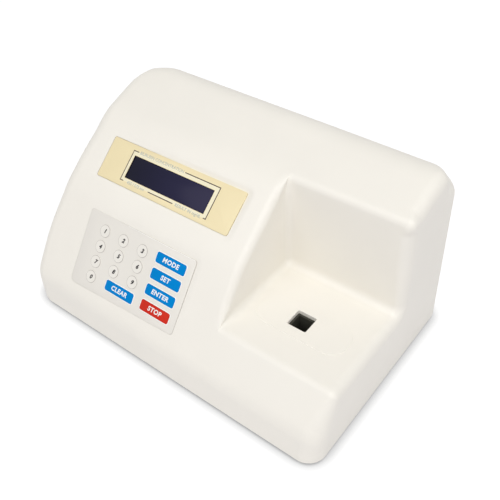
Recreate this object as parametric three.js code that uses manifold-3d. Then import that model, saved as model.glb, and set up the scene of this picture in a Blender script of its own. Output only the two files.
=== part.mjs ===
// A benchtop bilirubin meter: a wedge-shaped moulded cover with a stepped sample bay on its right,
// a display and a keypad on its sloping front, and the optics, boards and mains inlet that it holds.
// Millimetres. x runs left to right, y from the front to the rear, z up. Inside this file z = 0 is
// the lower edge of the cover and y = 0 its front; the last lines move the whole to its own origin.

import * as THREE from "three";
import { mergeVertices } from "three/addons/utils/BufferGeometryUtils.js";
import Module from "manifold-3d";

const wasm = await Module();
wasm.setup();

// Angles in degrees, as the drawing gives them
const keypadAngle = 52.7;
const displayAngle = 39.2;
const topAngle = 17;
const draftAngle = 2.2;

// Cover: the outline seen from the side
const coverWidth = 300;
const coverDepth = 187.5;
const wall = 3;
const lipLean = 4.3;
const lipHeight = 24.1;
const keypadFacet = 84.8;
const displayFacet = 68;
const lipRound = 30;
const ridgeRound = 60;
const browRound = 60;
const rearRound = 28;

// Cover: the roundings at its two ends
const leftRound = 18.5;
const rightEdgeRound = 5;
const rightCornerRound = 14;

// Sample bay, the step in the cover's right third
const bayWidth = 101;
const bayBack = 115;
const bayFloor = 54;
const bayEdgeRound = 6;
const bayFillet = 3;
const bayRoundFade = 18;

// Running and seating clearances
const seat = 0.3;
const overrun = 5;

// Base plate, feet and their screws
const plateThickness = 2;
const plateLift = 1;
const footRadius = 8;
const footDrop = 3;
const footInset = 30;
const bossRadius = 5;
const bossHeight = 20;
const bossInset = 13;
const bossWeb = 4;
const screwRadius = 1.5;
const screwHeadRadius = 3.2;
const screwHeadHeight = 1.8;
const baseScrewLength = 12;

// Rear panel in its well
const wellLeft = 40;
const wellRight = 182;
const wellBottom = 14;
const wellTop = 80;
const wellDepth = 9;
const wellFrame = 3;
const panelThickness = 1.5;
const panelLap = 8;
const panelNutRadius = 3.5;
const panelNutHeight = 3;
const panelScrewLength = 9;
const panelPostRadius = 5;

// Mains module: inlet, fuse drawer and power switch in one snap-in body
const inletX = 148;
const inletZ = 47;
const flangeWidth = 32;
const flangeHeight = 60;
const flangeThickness = 2.8;
const inletBodyWidth = 26;
const inletBodyHeight = 52;
const inletBodyDepth = 32;
const socketWidth = 23;
const socketHeight = 17;
const socketDepth = 16;
const socketDrop = 13;
const pinWidth = 2;
const pinHeight = 4.5;
const pinLength = 8;
const pinSpread = 7;
const pinRise = 3;
const drawerWidth = 21.4;
const drawerHeight = 8.4;
const drawerDepth = 24;
const drawerRise = 3.2;
const drawerGrip = 1.2;
const fuseRadius = 2.5;
const fuseLength = 19;
const rockerWidth = 20;
const rockerHeight = 13;
const rockerDepth = 6;
const rockerRise = 17.5;
const rockerRecess = 1.6;
const rockerPocket = 13;
const rockerTilt = 8;

// Serial port
const portX = 78;
const portZ = 47;
const portFlangeWidth = 31;
const portFlangeHeight = 12.5;
const portFlangeThickness = 1.2;
const portShellWidth = 17;
const portShellHeight = 8.4;
const portShellDepth = 5.5;
const portBodyDepth = 10;
const portPinHole = 0.7;
const portPinPitch = 2.74;
const portRowPitch = 2.84;

// Display on the upper facet: v is measured up the facet from the ridge
const bezelWidth = 136;
const bezelBottom = 16.6;
const bezelHeight = 35.3;
const bezelThickness = 1;
const bezelPocket = 1.6;
const bezelCorner = 1.5;
const windowInset = 27.2;
const windowWidth = 82.4;
const windowRise = 7.7;
const windowHeight = 19.1;
const windowLap = 2.6;
const windowThickness = 1;
const lcdWidth = 98;
const lcdHeight = 27;
const lcdThickness = 7;
const lcdBoardWidth = 116;
const lcdBoardHeight = 36;
const boardThickness = 1.6;
const lcdPostRadius = 2.5;
const lcdPostInset = 3.5;

// Keypad on the lower facet: v is measured up the facet from the top of the lip
const keypadBottom = 14;
const keypadSide = 7;
const keypadFoot = 2.7;
const keypadHead = 6.7;
const keypadCorner = 2.5;
const overlayThickness = 0.8;
const keypadPocket = 1.2;
const keypadRim = 1.6;
const keypadBoardDrop = 2.5;
const keyProud = 0.3;
const keyFlange = 0.7;
const keyFlangeThickness = 0.5;
const roundKeyRadius = 5.3;
const roundKeyInset = 20.5;
const roundKeyDrop = 1.8;
const keyGapX = 10.35;
const keyGapV = 2.8;
const keyColumnGap = 9.3;
const longKeyWidth = 29.4;
const longKeyHeight = 8.6;
const longKeyCorner = 1.6;
const wideKeyGap = 8.8;
const wideKeyDrop = 0.9;
const wideKeyWidth = 30.4;

// Main board on the base plate
const mainBoardLeft = 22;
const mainBoardGap = 24;
const mainBoardFront = 34;
const mainBoardDepth = 96;
const pillarHeight = 5;
const pillarRadius = 3;
const pillarInset = 6;
const chipSide = 24;
const chipHeight = 3;
const headerLength = 30;
const headerWidth = 6;
const headerHeight = 9;
const displayHeaderInset = 24;
const capacitorRadius = 8;
const capacitorHeight = 25;

// Optics under the floor of the sample bay; the beam runs along x
const cuvetteInset = 57.4;
const cuvetteY = 68.5;
const cuvetteHole = 15.8;
const cuvetteHoleCorner = 0.8;
const cuvetteBore = 12.8;
const cuvetteWellSide = 24;
const cuvetteWellHeight = 38;
const cuvetteWellFloor = 2;
const beamHeight = 30;
const beamRadius = 2.5;
const opticsInset = 10;
const opticsLength = 84;
const opticsWidth = 40;
const opticsPlate = 3;
const opticsPostRadius = 4;
const opticsPostInset = 6;
const lampHolderWidth = 18;
const lampHolderDepth = 20;
const lampHolderHeight = 32;
const lampRadius = 4;
const lampLength = 9;
const lensRadius = 4.6;
const lensThickness = 3;
const splitterSide = 24;
const splitterHeight = 32;
const splitterBore = 4.5;
const splitterGlass = 1.2;
const splitterGlassWidth = 12;
const filterRadius = 4.8;
const filterThickness = 3;
const detectorSide = 22;
const detectorHeight = 30;
const detectorCanRadius = 4;
const detectorCanLength = 2;

// Mains transformer behind the sample bay
const transformerInset = 45;
const transformerSetback = 46.5;
const coreWidth = 46;
const coreDepth = 20;
const coreHeight = 38;
const coilWidth = 30;
const coilDepth = 36;
const coilHeight = 26;

// Inner wiring
const ribbonThickness = 1;
const displayRibbonWidth = 30;
const keypadRibbonWidth = 18;
const leadRadius = 1.8;
const lampLeadRadius = 1.2;

// Points closer than this are one
const weld = 1e-4;

// Smoothness: steps of the round stretches
const lipSteps = 5;
const ridgeSteps = 4;
const browSteps = 6;
const rearSteps = 8;
const endSteps = 7;
const innerEndSteps = 4;
const bayEdgeSteps = 4;
const bayFilletSteps = 3;
const keySides = 20;
const screwSides = 12;
const roundSides = 24;
const cornerSteps = 2;
const pinSides = 6;
const leadSides = 8;
const leadSteps = 10;
const displayRunShare = 1 / 3;

// Of the room that the display plate and the keypad leave beside the sample bay, the part on their left
const bezelLeftShare = 0.6175;
const keypadLeftShare = 0.5607;

const radians = (degrees) => THREE.MathUtils.degToRad(degrees);
const sine = (degrees) => Math.sin(radians(degrees));
const cosine = (degrees) => Math.cos(radians(degrees));
const tangent = (degrees) => Math.tan(radians(degrees));

// Places along the width: the sample bay and what is under it follow the right end, and the display
// and the keypad share out the room that is left
const bayLeft = coverWidth - bayWidth;
const bezelLeft = (bayLeft - bezelWidth) * bezelLeftShare;
const windowLeft = bezelLeft + windowInset;
const windowBottom = bezelBottom + windowRise;
const keyPitchX = 2 * roundKeyRadius + keyGapX;
const keyPitchV = 2 * roundKeyRadius + keyGapV;
const longKeyInset = roundKeyInset + 2 * keyPitchX + roundKeyRadius + keyColumnGap + longKeyWidth / 2;
const longKeyRise = keypadFoot + roundKeyRadius + roundKeyDrop + 3 * keyPitchV;
const wideKeyInset = longKeyInset - (longKeyWidth + wideKeyWidth) / 2 - wideKeyGap;
const wideKeyRise = longKeyRise - 3 * keyPitchV - wideKeyDrop;
const keypadWidth = longKeyInset + longKeyWidth / 2 + keypadSide;
const keypadHeight = longKeyRise + longKeyHeight / 2 + keypadHead;
const keypadLeft = (bayLeft - keypadWidth) * keypadLeftShare;
const cuvetteX = coverWidth - cuvetteInset;
const opticsRight = coverWidth - opticsInset;
const opticsLeft = opticsRight - opticsLength;
const mainBoardWidth = opticsLeft - mainBoardGap - mainBoardLeft;
const transformerX = coverWidth - transformerInset;
const transformerY = coverDepth - transformerSetback;

// Corners of the side outline, from the front foot of the lip to the rear
const lipTop = { y: lipLean, z: lipHeight };
const ridge = {
  y: lipTop.y + keypadFacet * cosine(keypadAngle),
  z: lipTop.z + keypadFacet * sine(keypadAngle),
};
const brow = {
  y: ridge.y + displayFacet * cosine(displayAngle),
  z: ridge.z + displayFacet * sine(displayAngle),
};
const rearTop = { y: coverDepth, z: brow.z + (coverDepth - brow.y) * tangent(topAngle) };
const bayLipY = lipTop.y + (bayFloor - lipTop.z) / tangent(keypadAngle);
const bayBrowZ = brow.z + (bayBack - brow.y) * tangent(topAngle);

// Heights and faces that the inner pieces stand on
const plateTop = plateLift + plateThickness;
const boardBottom = plateTop + pillarHeight + seat;
const panelFace = coverDepth - wellDepth;
const flangeFace = panelFace + seat + flangeThickness;
const wellBase = bayFloor - wall - seat - cuvetteWellHeight;
const opticsTop = wellBase - seat;
const opticsFloor = opticsTop - opticsPlate;
const displayHeaderY = mainBoardFront + mainBoardDepth - displayHeaderInset;
const keypadHeaderY = mainBoardFront + headerWidth;

// Colours, as seen on the instrument and inside such instruments
const finishes = {
  cover: { color: 0xf0ebe0, roughness: 0.5, metalness: 0 },
  overlay: { color: 0xdedbd2, roughness: 0.45, metalness: 0 },
  bezel: { color: 0xe9dcae, roughness: 0.4, metalness: 0 },
  window: { color: 0x262440, roughness: 0.15, metalness: 0 },
  digitKey: { color: 0xe6e3da, roughness: 0.45, metalness: 0 },
  blueKey: { color: 0x0f7cc8, roughness: 0.4, metalness: 0 },
  redKey: { color: 0xc92a26, roughness: 0.4, metalness: 0 },
  black: { color: 0x141415, roughness: 0.6, metalness: 0 },
  rubber: { color: 0x26262a, roughness: 0.85, metalness: 0 },
  steel: { color: 0xb4b6b8, roughness: 0.35, metalness: 1 },
  aluminium: { color: 0xc4c6c8, roughness: 0.4, metalness: 1 },
  board: { color: 0x1f5c38, roughness: 0.5, metalness: 0 },
  glass: { color: 0xcfe2ea, roughness: 0.05, metalness: 0 },
  blueGlass: { color: 0x3a62c4, roughness: 0.05, metalness: 0 },
  greenGlass: { color: 0x59a65c, roughness: 0.05, metalness: 0 },
  copper: { color: 0xa8642e, roughness: 0.4, metalness: 0.6 },
  ribbon: { color: 0xb9bcc2, roughness: 0.6, metalness: 0 },
};

const root = new THREE.Group();

// Adds a named piece to a group and gives it back
function piece(name, geometry, finish, group = root) {
  const mesh = new THREE.Mesh(geometry, new THREE.MeshStandardMaterial(finishes[finish]));
  mesh.name = name;
  group.add(mesh);
  return mesh;
}

// A closed geometry as a solid that can be joined and cut
function solidOf(geometry) {
  const bare = geometry.index ? geometry.toNonIndexed() : geometry.clone();
  bare.deleteAttribute("normal");
  bare.deleteAttribute("uv");
  const welded = mergeVertices(bare, weld);
  return new wasm.Manifold(new wasm.Mesh({
    numProp: 3,
    vertProperties: new Float32Array(welded.attributes.position.array),
    triVerts: new Uint32Array(welded.index.array),
  }));
}

// A solid as a geometry for a mesh
function geometryOf(solid) {
  const data = solid.getMesh();
  const geometry = new THREE.BufferGeometry();
  const positions = new THREE.BufferAttribute(new Float32Array(data.vertProperties), 3);
  geometry.setAttribute("position", positions);
  geometry.setIndex(new THREE.BufferAttribute(new Uint32Array(data.triVerts), 1));
  return geometry;
}

const joined = (...geometries) => geometries.map(solidOf).reduce((sum, next) => sum.add(next));

function cutFrom(solid, ...geometries) {
  return geometries.reduce((rest, next) => rest.subtract(solidOf(next)), solid);
}

// The stretch of a width about its middle
const about = (middle, width) => [middle - width / 2, middle + width / 2];

// A block over a stretch of each axis
function block(xs, ys, zs) {
  const box = new THREE.BoxGeometry(xs[1] - xs[0], ys[1] - ys[0], zs[1] - zs[0]);
  return box.translate((xs[0] + xs[1]) / 2, (ys[0] + ys[1]) / 2, (zs[0] + zs[1]) / 2);
}

// A round bar along an axis, from its start point
function bar(radius, length, start, axis = "z", sides = roundSides) {
  const cylinder = new THREE.CylinderGeometry(radius, radius, length, sides);
  cylinder.translate(0, length / 2, 0);
  if (axis === "z") cylinder.rotateX(Math.PI / 2);
  if (axis === "x") cylinder.rotateZ(-Math.PI / 2);
  return cylinder.translate(...start);
}

// The outline of a rectangle with round corners, as a shape from its lower left corner
function roundedOutline(width, height, corner) {
  const shape = new THREE.Shape();
  shape.moveTo(corner, 0);
  shape.lineTo(width - corner, 0);
  shape.absarc(width - corner, corner, corner, -Math.PI / 2, 0);
  shape.lineTo(width, height - corner);
  shape.absarc(width - corner, height - corner, corner, 0, Math.PI / 2);
  shape.lineTo(corner, height);
  shape.absarc(corner, height - corner, corner, Math.PI / 2, Math.PI);
  shape.lineTo(0, corner);
  shape.absarc(corner, corner, corner, Math.PI, Math.PI * 1.5);
  return shape;
}

// A flat slab with round corners over a stretch of each axis
function slab(xs, ys, zs, corner) {
  const outline = roundedOutline(xs[1] - xs[0], ys[1] - ys[0], corner);
  const geometry = new THREE.ExtrudeGeometry(outline, {
    depth: zs[1] - zs[0], bevelEnabled: false, curveSegments: cornerSteps,
  });
  return geometry.translate(xs[0], ys[0], zs[0]);
}

// Points and outward normals along a side outline: each corner is rounded by its own radius
function roundedPath(corners) {
  const path = [];
  corners.forEach((corner, index) => {
    const here = vector(corner);
    const before = index > 0 ? here.clone().sub(vector(corners[index - 1])).normalize() : null;
    const after = index < corners.length - 1 ? vector(corners[index + 1]).sub(here).normalize() : null;
    if (!corner.round) {
      path.push({ at: here, normal: leftOf(before ?? after) });
      return;
    }
    const turn = Math.atan2(before.cross(after), before.dot(after));
    const reach = corner.round * Math.tan(Math.abs(turn) / 2);
    const start = here.clone().addScaledVector(before, -reach);
    const side = Math.sign(turn);
    const centre = start.clone().addScaledVector(leftOf(before), side * corner.round);
    for (let step = 0; step <= corner.steps; step += 1) {
      const normal = leftOf(before).rotateAround(new THREE.Vector2(), (turn * step) / corner.steps);
      path.push({ at: centre.clone().addScaledVector(normal, -side * corner.round), normal });
    }
  });
  return path;
}

function vector(point) {
  return new THREE.Vector2(point.y, point.z);
}

function leftOf(direction) {
  return new THREE.Vector2(-direction.y, direction.x);
}

// Points spread evenly between two others, with the normal of the first
function spread(first, last, count) {
  return Array.from({ length: count }, (_, index) => ({
    at: first.at.clone().lerp(last.at, (index + 1) / (count + 1)),
    normal: first.normal,
  }));
}

// The outline with the display's slope, and the outline through the sample bay. Both have the same
// number of points, so that the cover's skin can run from one to the other. They differ only from
// the point first to the point last.
function outlines() {
  const front = [{ y: 0, z: 0 }, { ...lipTop, round: lipRound, steps: lipSteps }];
  const rear = [{ ...rearTop, round: rearRound, steps: rearSteps }, { y: coverDepth, z: 0 }];
  const bay = roundedPath([
    ...front,
    { y: bayLipY, z: bayFloor, round: bayEdgeRound, steps: bayEdgeSteps },
    { y: bayBack, z: bayFloor, round: bayFillet, steps: bayFilletSteps },
    { y: bayBack, z: bayBrowZ, round: bayEdgeRound, steps: bayEdgeSteps },
    ...rear,
  ]);
  const full = roundedPath([
    ...front,
    { ...ridge, round: ridgeRound, steps: ridgeSteps },
    { ...brow, round: browRound, steps: browSteps },
    ...rear,
  ]);
  const start = lipSteps + 2;
  const ridgeEnd = start + ridgeSteps;
  const browEnd = ridgeEnd + 1 + browSteps;
  const edgeEnd = start + bayEdgeSteps;
  const bayEnd = edgeEnd + bayFilletSteps + bayEdgeSteps + 2;
  const stepped = [
    ...bay.slice(start, edgeEnd + 1),
    ...spread(bay[edgeEnd], bay[edgeEnd + 1], 1),
    ...bay.slice(edgeEnd + 1, bayEnd + 1),
    full[browEnd],
  ];
  const spare = stepped.length - (1 + (ridgeSteps + 1) + (browSteps + 1));
  const onDisplay = Math.floor(spare * displayRunShare);
  const slopeStart = { at: bay[start].at, normal: full[start].normal };
  return {
    full: [
      ...full.slice(0, start),
      slopeStart,
      ...spread(slopeStart, full[start], spare - onDisplay),
      ...full.slice(start, ridgeEnd + 1),
      ...spread(full[ridgeEnd], full[ridgeEnd + 1], onDisplay),
      ...full.slice(ridgeEnd + 1),
    ],
    bay: [...full.slice(0, start), ...stepped, ...full.slice(browEnd + 1)],
    first: start,
    last: start + stepped.length - 1,
  };
}

// A point of an outline moved inwards; the two lowest points stay at the foot height
function drawnPoint(point, distance, foot, isFoot) {
  const moved = point.at.clone().addScaledVector(point.normal, -distance);
  if (isFoot) {
    moved.x = point.at.x - (distance + foot * point.normal.y) / point.normal.x;
    moved.y = foot;
  }
  return moved;
}

// The sides lean in, so x closes towards the middle with height
function drafted(x, point) {
  const lean = 1 - (2 * point.y * tangent(draftAngle)) / coverWidth;
  return new THREE.Vector3(coverWidth / 2 + (x - coverWidth / 2) * lean, point.x, point.y);
}

// The roundings along the bay's left wall fade out towards the wall's two ends
function bayRoundings(lines) {
  const weight = (line, index) => {
    if (index <= lines.first || index >= lines.last) return 0;
    const toFirst = line[index].at.distanceTo(line[lines.first].at);
    const toLast = line[index].at.distanceTo(line[lines.last].at);
    return THREE.MathUtils.smoothstep(Math.min(toFirst, toLast), 0, bayRoundFade);
  };
  return lines.full.map((point, index) => ({
    edge: bayEdgeRound * weight(lines.full, index),
    fillet: bayFillet * weight(lines.bay, index),
  }));
}

// Rounding at the right end: small on level edges, growing on the upright corners
function rightRounds(points) {
  return points.map((point) => {
    const rise = THREE.MathUtils.clamp(1 - point.at.y / bayFloor, 0, 1);
    const upright = point.normal.x > 0 ? point.normal.x : rise;
    return rightEdgeRound + (rightCornerRound - rightEdgeRound) * upright;
  });
}

// The turns of a rounding's rings, from none to a right angle
const quarterTurns = (steps) => (
  Array.from({ length: steps + 1 }, (_, step) => (step / steps) * (Math.PI / 2)));

// The rings of the cover's skin, from left to right: an outline's points with their places along x
// and how far each is drawn in
function leftEnd(lines, drawnIn, steps) {
  const round = leftRound - drawnIn;
  return quarterTurns(steps).map((turn) => lines.full.map((point) => ({
    point,
    x: drawnIn + round * (1 - Math.cos(turn)),
    distance: round * (1 - Math.sin(turn)),
  })));
}

function plainBayWall(lines, drawnIn) {
  return [lines.full, lines.bay].map((line) => (
    line.map((point) => ({ point, x: bayLeft - drawnIn, distance: 0 }))));
}

function roundedBayWall(lines) {
  const roundings = bayRoundings(lines);
  const edge = quarterTurns(bayEdgeSteps).map((turn) => lines.full.map((point, index) => ({
    point,
    x: bayLeft - bayEdgeRound * (1 - Math.sin(turn)),
    distance: roundings[index].edge * (1 - Math.cos(turn)),
  })));
  const fillet = quarterTurns(bayFilletSteps).map((turn) => lines.bay.map((point, index) => ({
    point,
    x: bayLeft + bayFillet * (1 - Math.cos(turn)),
    distance: -roundings[index].fillet * (1 - Math.sin(turn)),
  })));
  return [...edge, ...fillet];
}

function rightEnd(lines, drawnIn, steps) {
  const rounds = rightRounds(lines.bay).map((round) => Math.max(round - drawnIn, seat));
  return quarterTurns(steps).reverse().map((turn) => lines.bay.map((point, index) => ({
    point,
    x: coverWidth - drawnIn - rounds[index] * (1 - Math.cos(turn)),
    distance: rounds[index] * (1 - Math.sin(turn)),
  })));
}

// A closed skin over equal rings of points. All of an end can be seen from its last point, the rear
// foot, so a fan from there closes it.
function skin(rings) {
  const count = rings[0].length;
  const lastRing = (rings.length - 1) * count;
  const positions = rings.flat().flatMap((point) => [point.x, point.y, point.z]);
  const faces = [];
  for (let ring = 0; ring < rings.length - 1; ring += 1) {
    for (let index = 0; index < count; index += 1) {
      const a = ring * count + index;
      const b = ring * count + ((index + 1) % count);
      faces.push(a, b + count, b, a, a + count, b + count);
    }
  }
  for (let index = 0; index < count - 2; index += 1) {
    faces.push(count - 1, index, index + 1);
    faces.push(lastRing + count - 1, lastRing + index + 1, lastRing + index);
  }
  const geometry = new THREE.BufferGeometry();
  geometry.setAttribute("position", new THREE.Float32BufferAttribute(positions, 3));
  geometry.setIndex(faces);
  return geometry;
}

// The solid inside the cover's outline, drawn in by a wall. foot is the height of its lower face.
function wedge(drawnIn, foot, steps) {
  const lines = outlines();
  const lastIndex = lines.full.length - 1;
  const bayWall = drawnIn > 0 ? plainBayWall(lines, drawnIn) : roundedBayWall(lines);
  const rings = [...leftEnd(lines, drawnIn, steps), ...bayWall, ...rightEnd(lines, drawnIn, steps)];
  return skin(rings.map((ring) => ring.map(({ point, x, distance }, index) => (
    drafted(x, drawnPoint(point, distance + drawnIn, foot, index === 0 || index === lastIndex))))));
}

// The frames of the two sloping facets: x along the ridge, y up the slope, z out of the face
function facetGroup(start, slope) {
  const group = new THREE.Group();
  group.position.set(0, start.y, start.z);
  group.rotation.set(radians(slope), 0, 0);
  group.updateMatrix();
  root.add(group);
  return group;
}
const keypadGroup = facetGroup(lipTop, keypadAngle);
const displayGroup = facetGroup(ridge, displayAngle);
const onFacet = (group, geometry) => geometry.applyMatrix4(group.matrix);

// The point of the side view at a place and depth on a facet
function facetPoint(start, slope, v, depth) {
  return [
    start.y + v * cosine(slope) + depth * sine(slope),
    start.z + v * sine(slope) - depth * cosine(slope),
  ];
}

// Places that repeat
const cornerNames = ["front_left", "front_right", "rear_left", "rear_right"];
const cornersOf = (xs, ys) => ys.flatMap((y) => xs.map((x) => [x, y]));
const bossPlaces = cornersOf([bossInset, coverWidth - bossInset], [bossInset, coverDepth - bossInset]);
const footPlaces = cornersOf([footInset, coverWidth - footInset], [footInset, coverDepth - footInset]);
const panelCornerNames = ["lower_left", "lower_right", "upper_left", "upper_right"];
const panelCorners = cornersOf(
  [wellLeft - panelLap / 2, wellRight + panelLap / 2],
  [wellBottom - panelLap / 2, wellTop + panelLap / 2],
);
const pillarPlaces = cornersOf(
  [mainBoardLeft + pillarInset, mainBoardLeft + mainBoardWidth - pillarInset],
  [mainBoardFront + pillarInset, mainBoardFront + mainBoardDepth - pillarInset],
);
const lcdCentreX = windowLeft + windowWidth / 2;
const lcdCentreV = windowBottom + windowHeight / 2;
const lcdTop = -wall - seat;
const lcdBoardTop = lcdTop - lcdThickness - seat;
const lcdPostPlaces = cornersOf(
  about(lcdCentreX, lcdBoardWidth - 2 * lcdPostInset),
  about(lcdCentreV, lcdBoardHeight - 2 * lcdPostInset),
);

// A post for each base screw, with two webs that run out to the cover's walls
function coverBosses() {
  const heights = [plateTop + seat, bossHeight];
  return bossPlaces.map(([x, y]) => {
    const toSide = x < coverWidth / 2 ? [0, x] : [x, coverWidth];
    const toEnd = y < coverDepth / 2 ? [0, y] : [y, coverDepth];
    const post = bar(bossRadius, heights[1] - heights[0], [x, y, heights[0]], "z", screwSides);
    const sideWeb = block(toSide, about(y, bossWeb), heights);
    const endWeb = block(about(x, bossWeb), toEnd, heights);
    return joined(post, sideWeb, endWeb);
  }).reduce((sum, next) => sum.add(next));
}

// The walls of the rear well, before it is cut, with a post for each panel screw
function rearWell() {
  const back = coverDepth - wall / 2;
  const front = panelFace + seat;
  const frame = block(
    [wellLeft - wellFrame, wellRight + wellFrame],
    [front, back],
    [wellBottom - wellFrame, wellTop + wellFrame],
  );
  const posts = panelCorners.map(([x, z]) => (
    bar(panelPostRadius, back - front, [x, front, z], "y", screwSides)));
  return joined(frame, ...posts);
}

// Posts under the display facet that the display's board is pressed onto
function displayPosts() {
  const low = lcdBoardTop + seat;
  return joined(...lcdPostPlaces.map(([x, v]) => (
    onFacet(displayGroup, bar(lcdPostRadius, -wall / 2 - low, [x, v, low], "z", screwSides)))));
}

// Openings in the cover for the display and the keypad, each with a shallow pocket around it
function facetCuts() {
  const pocketEnd = overrun - bezelPocket;
  const bezelPocketCut = slab(
    [bezelLeft - seat, bezelLeft + bezelWidth + seat],
    [bezelBottom - seat, bezelBottom + bezelHeight + seat],
    [-bezelPocket, pocketEnd],
    bezelCorner + seat,
  );
  const windowGrowth = 2 * (windowLap + seat);
  const windowCut = slab(
    about(lcdCentreX, windowWidth + windowGrowth),
    about(lcdCentreV, windowHeight + windowGrowth),
    [-wall - overrun, overrun],
    bezelCorner,
  );
  const keypadPocketCut = slab(
    [keypadLeft - seat, keypadLeft + keypadWidth + seat],
    [keypadBottom - seat, keypadBottom + keypadHeight + seat],
    [-keypadPocket, overrun],
    keypadCorner + seat,
  );
  const keypadCut = slab(
    [keypadLeft + keypadRim, keypadLeft + keypadWidth - keypadRim],
    [keypadBottom + keypadRim, keypadBottom + keypadHeight - keypadRim],
    [-wall - overrun, overrun],
    keypadCorner,
  );
  return [
    ...[bezelPocketCut, windowCut].map((cut) => onFacet(displayGroup, cut)),
    ...[keypadPocketCut, keypadCut].map((cut) => onFacet(keypadGroup, cut)),
  ];
}

function coverScrewCuts() {
  const shank = screwRadius + seat;
  const baseHoles = bossPlaces.map(([x, y]) => (
    bar(shank, baseScrewLength + seat, [x, y, 0], "z", screwSides)));
  const panelHoles = panelCorners.flatMap(([x, z]) => [
    bar(shank, wellDepth + overrun, [x, panelFace - seat, z], "y", screwSides),
    bar(screwHeadRadius + seat, overrun, [x, coverDepth - screwHeadHeight - 2 * seat, z], "y", screwSides),
  ]);
  return [...baseHoles, ...panelHoles];
}

function cover() {
  const outside = solidOf(wedge(0, 0, endSteps));
  const inside = solidOf(wedge(wall, -overrun, innerEndSteps));
  const extras = coverBosses().add(rearWell()).add(displayPosts());
  const shell = outside.subtract(inside).add(outside.intersect(extras));
  const well = block([wellLeft, wellRight], [panelFace, coverDepth + overrun], [wellBottom, wellTop]);
  const cuvetteCut = slab(
    about(cuvetteX, cuvetteHole),
    about(cuvetteY, cuvetteHole),
    [bayFloor - wall - overrun, bayFloor + overrun],
    cuvetteHoleCorner,
  );
  return geometryOf(cutFrom(shell, well, cuvetteCut, ...facetCuts(), ...coverScrewCuts()));
}

function basePlate() {
  const edge = wall + seat;
  const front = edge + (lipLean * plateTop) / lipHeight;
  const heights = [plateLift, plateTop];
  const plate = slab([edge, coverWidth - edge], [front, coverDepth - edge], heights, leftRound);
  const sunk = plateTop - plateThickness / 2;
  const pillars = pillarPlaces.map(([x, y]) => (
    bar(pillarRadius, pillarHeight + plateThickness / 2, [x, y, sunk], "z", screwSides)));
  const holes = bossPlaces.map(([x, y]) => bar(screwRadius + seat, overrun, [x, y, 0], "z", screwSides));
  return geometryOf(cutFrom(joined(plate, ...pillars), ...holes));
}

// A screw whose head starts at a place; a reversed one points to the front
function screw(place, length, axis, reversed) {
  const head = bar(screwHeadRadius, screwHeadHeight, [0, 0, 0], axis, screwSides);
  const shank = bar(screwRadius, length, [0, 0, 0], axis, screwSides);
  const geometry = geometryOf(joined(head, shank));
  if (reversed) geometry.rotateZ(Math.PI);
  return geometry.translate(...place);
}

function addBase() {
  piece("housing_cover", cover(), "cover");
  piece("base_plate", basePlate(), "steel");
  const footHeight = footDrop + plateLift - seat;
  footPlaces.forEach(([x, y], index) => {
    const foot = bar(footRadius, footHeight, [x, y, -footDrop], "z", keySides);
    piece(`foot_${cornerNames[index]}`, foot, "rubber");
  });
  const headLow = plateLift - seat - screwHeadHeight;
  bossPlaces.forEach(([x, y], index) => {
    const geometry = screw([x, y, headLow], baseScrewLength - headLow - seat, "z", false);
    piece(`base_screw_${cornerNames[index]}`, geometry, "steel");
  });
}

function addRearPanel() {
  const panelBack = panelFace - panelThickness;
  const panel = block(
    [wellLeft - panelLap, wellRight + panelLap],
    [panelBack, panelFace],
    [wellBottom - panelLap, wellTop + panelLap],
  );
  const nutLength = panelNutHeight + panelThickness / 2;
  const nuts = panelCorners.map(([x, z]) => (
    bar(panelNutRadius, nutLength, [x, panelBack - panelNutHeight, z], "y", screwSides)));
  const through = [panelBack - panelNutHeight - overrun, panelFace + overrun];
  const holes = panelCorners.map(([x, z]) => (
    bar(screwRadius + seat, through[1] - through[0], [x, through[0], z], "y", screwSides)));
  const opening = (x, z, width, height) => (
    block(about(x, width + 2 * seat), through, about(z, height + 2 * seat)));
  const inletHole = opening(inletX, inletZ, inletBodyWidth, inletBodyHeight);
  const portHole = opening(portX, portZ, portShellWidth, portShellHeight);
  const plate = cutFrom(joined(panel, ...nuts), ...holes, inletHole, portHole);
  piece("rear_panel", geometryOf(plate), "aluminium");
  panelCorners.forEach(([x, z], index) => {
    const length = wellDepth + panelScrewLength - seat;
    const geometry = screw([x, coverDepth - seat, z], length, "y", true);
    piece(`rear_panel_screw_${panelCornerNames[index]}`, geometry, "steel");
  });
}

// A pocket in the mains module's face, centred at a rise over the module's middle
function pocket(width, height, depth, rise) {
  const ys = [flangeFace - depth, flangeFace + overrun];
  return block(about(inletX, width), ys, about(inletZ + rise, height));
}

function addMainsModule() {
  const flange = block(
    about(inletX, flangeWidth),
    [panelFace + seat, flangeFace],
    about(inletZ, flangeHeight),
  );
  const body = block(
    about(inletX, inletBodyWidth),
    [flangeFace - inletBodyDepth, flangeFace - flangeThickness / 2],
    about(inletZ, inletBodyHeight),
  );
  const hollow = cutFrom(
    joined(flange, body),
    pocket(socketWidth, socketHeight, socketDepth, -socketDrop),
    pocket(drawerWidth + 2 * seat, drawerHeight + 2 * seat, drawerDepth + 2 * seat, drawerRise),
    pocket(rockerWidth + 2 * seat, rockerHeight + 2 * seat, rockerPocket, rockerRise),
  );
  const socketFloor = flangeFace - socketDepth;
  const pinPlaces = [[-pinSpread, -pinRise / 2], [0, pinRise], [pinSpread, -pinRise / 2]];
  const pins = pinPlaces.map(([x, z]) => block(
    about(inletX + x, pinWidth),
    [socketFloor - pinWidth, socketFloor + pinLength],
    about(inletZ - socketDrop + z, pinHeight),
  ));
  piece("inlet_body", geometryOf(hollow.add(joined(...pins))), "black");
  addFuseDrawer();
  addRocker();
}

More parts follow.
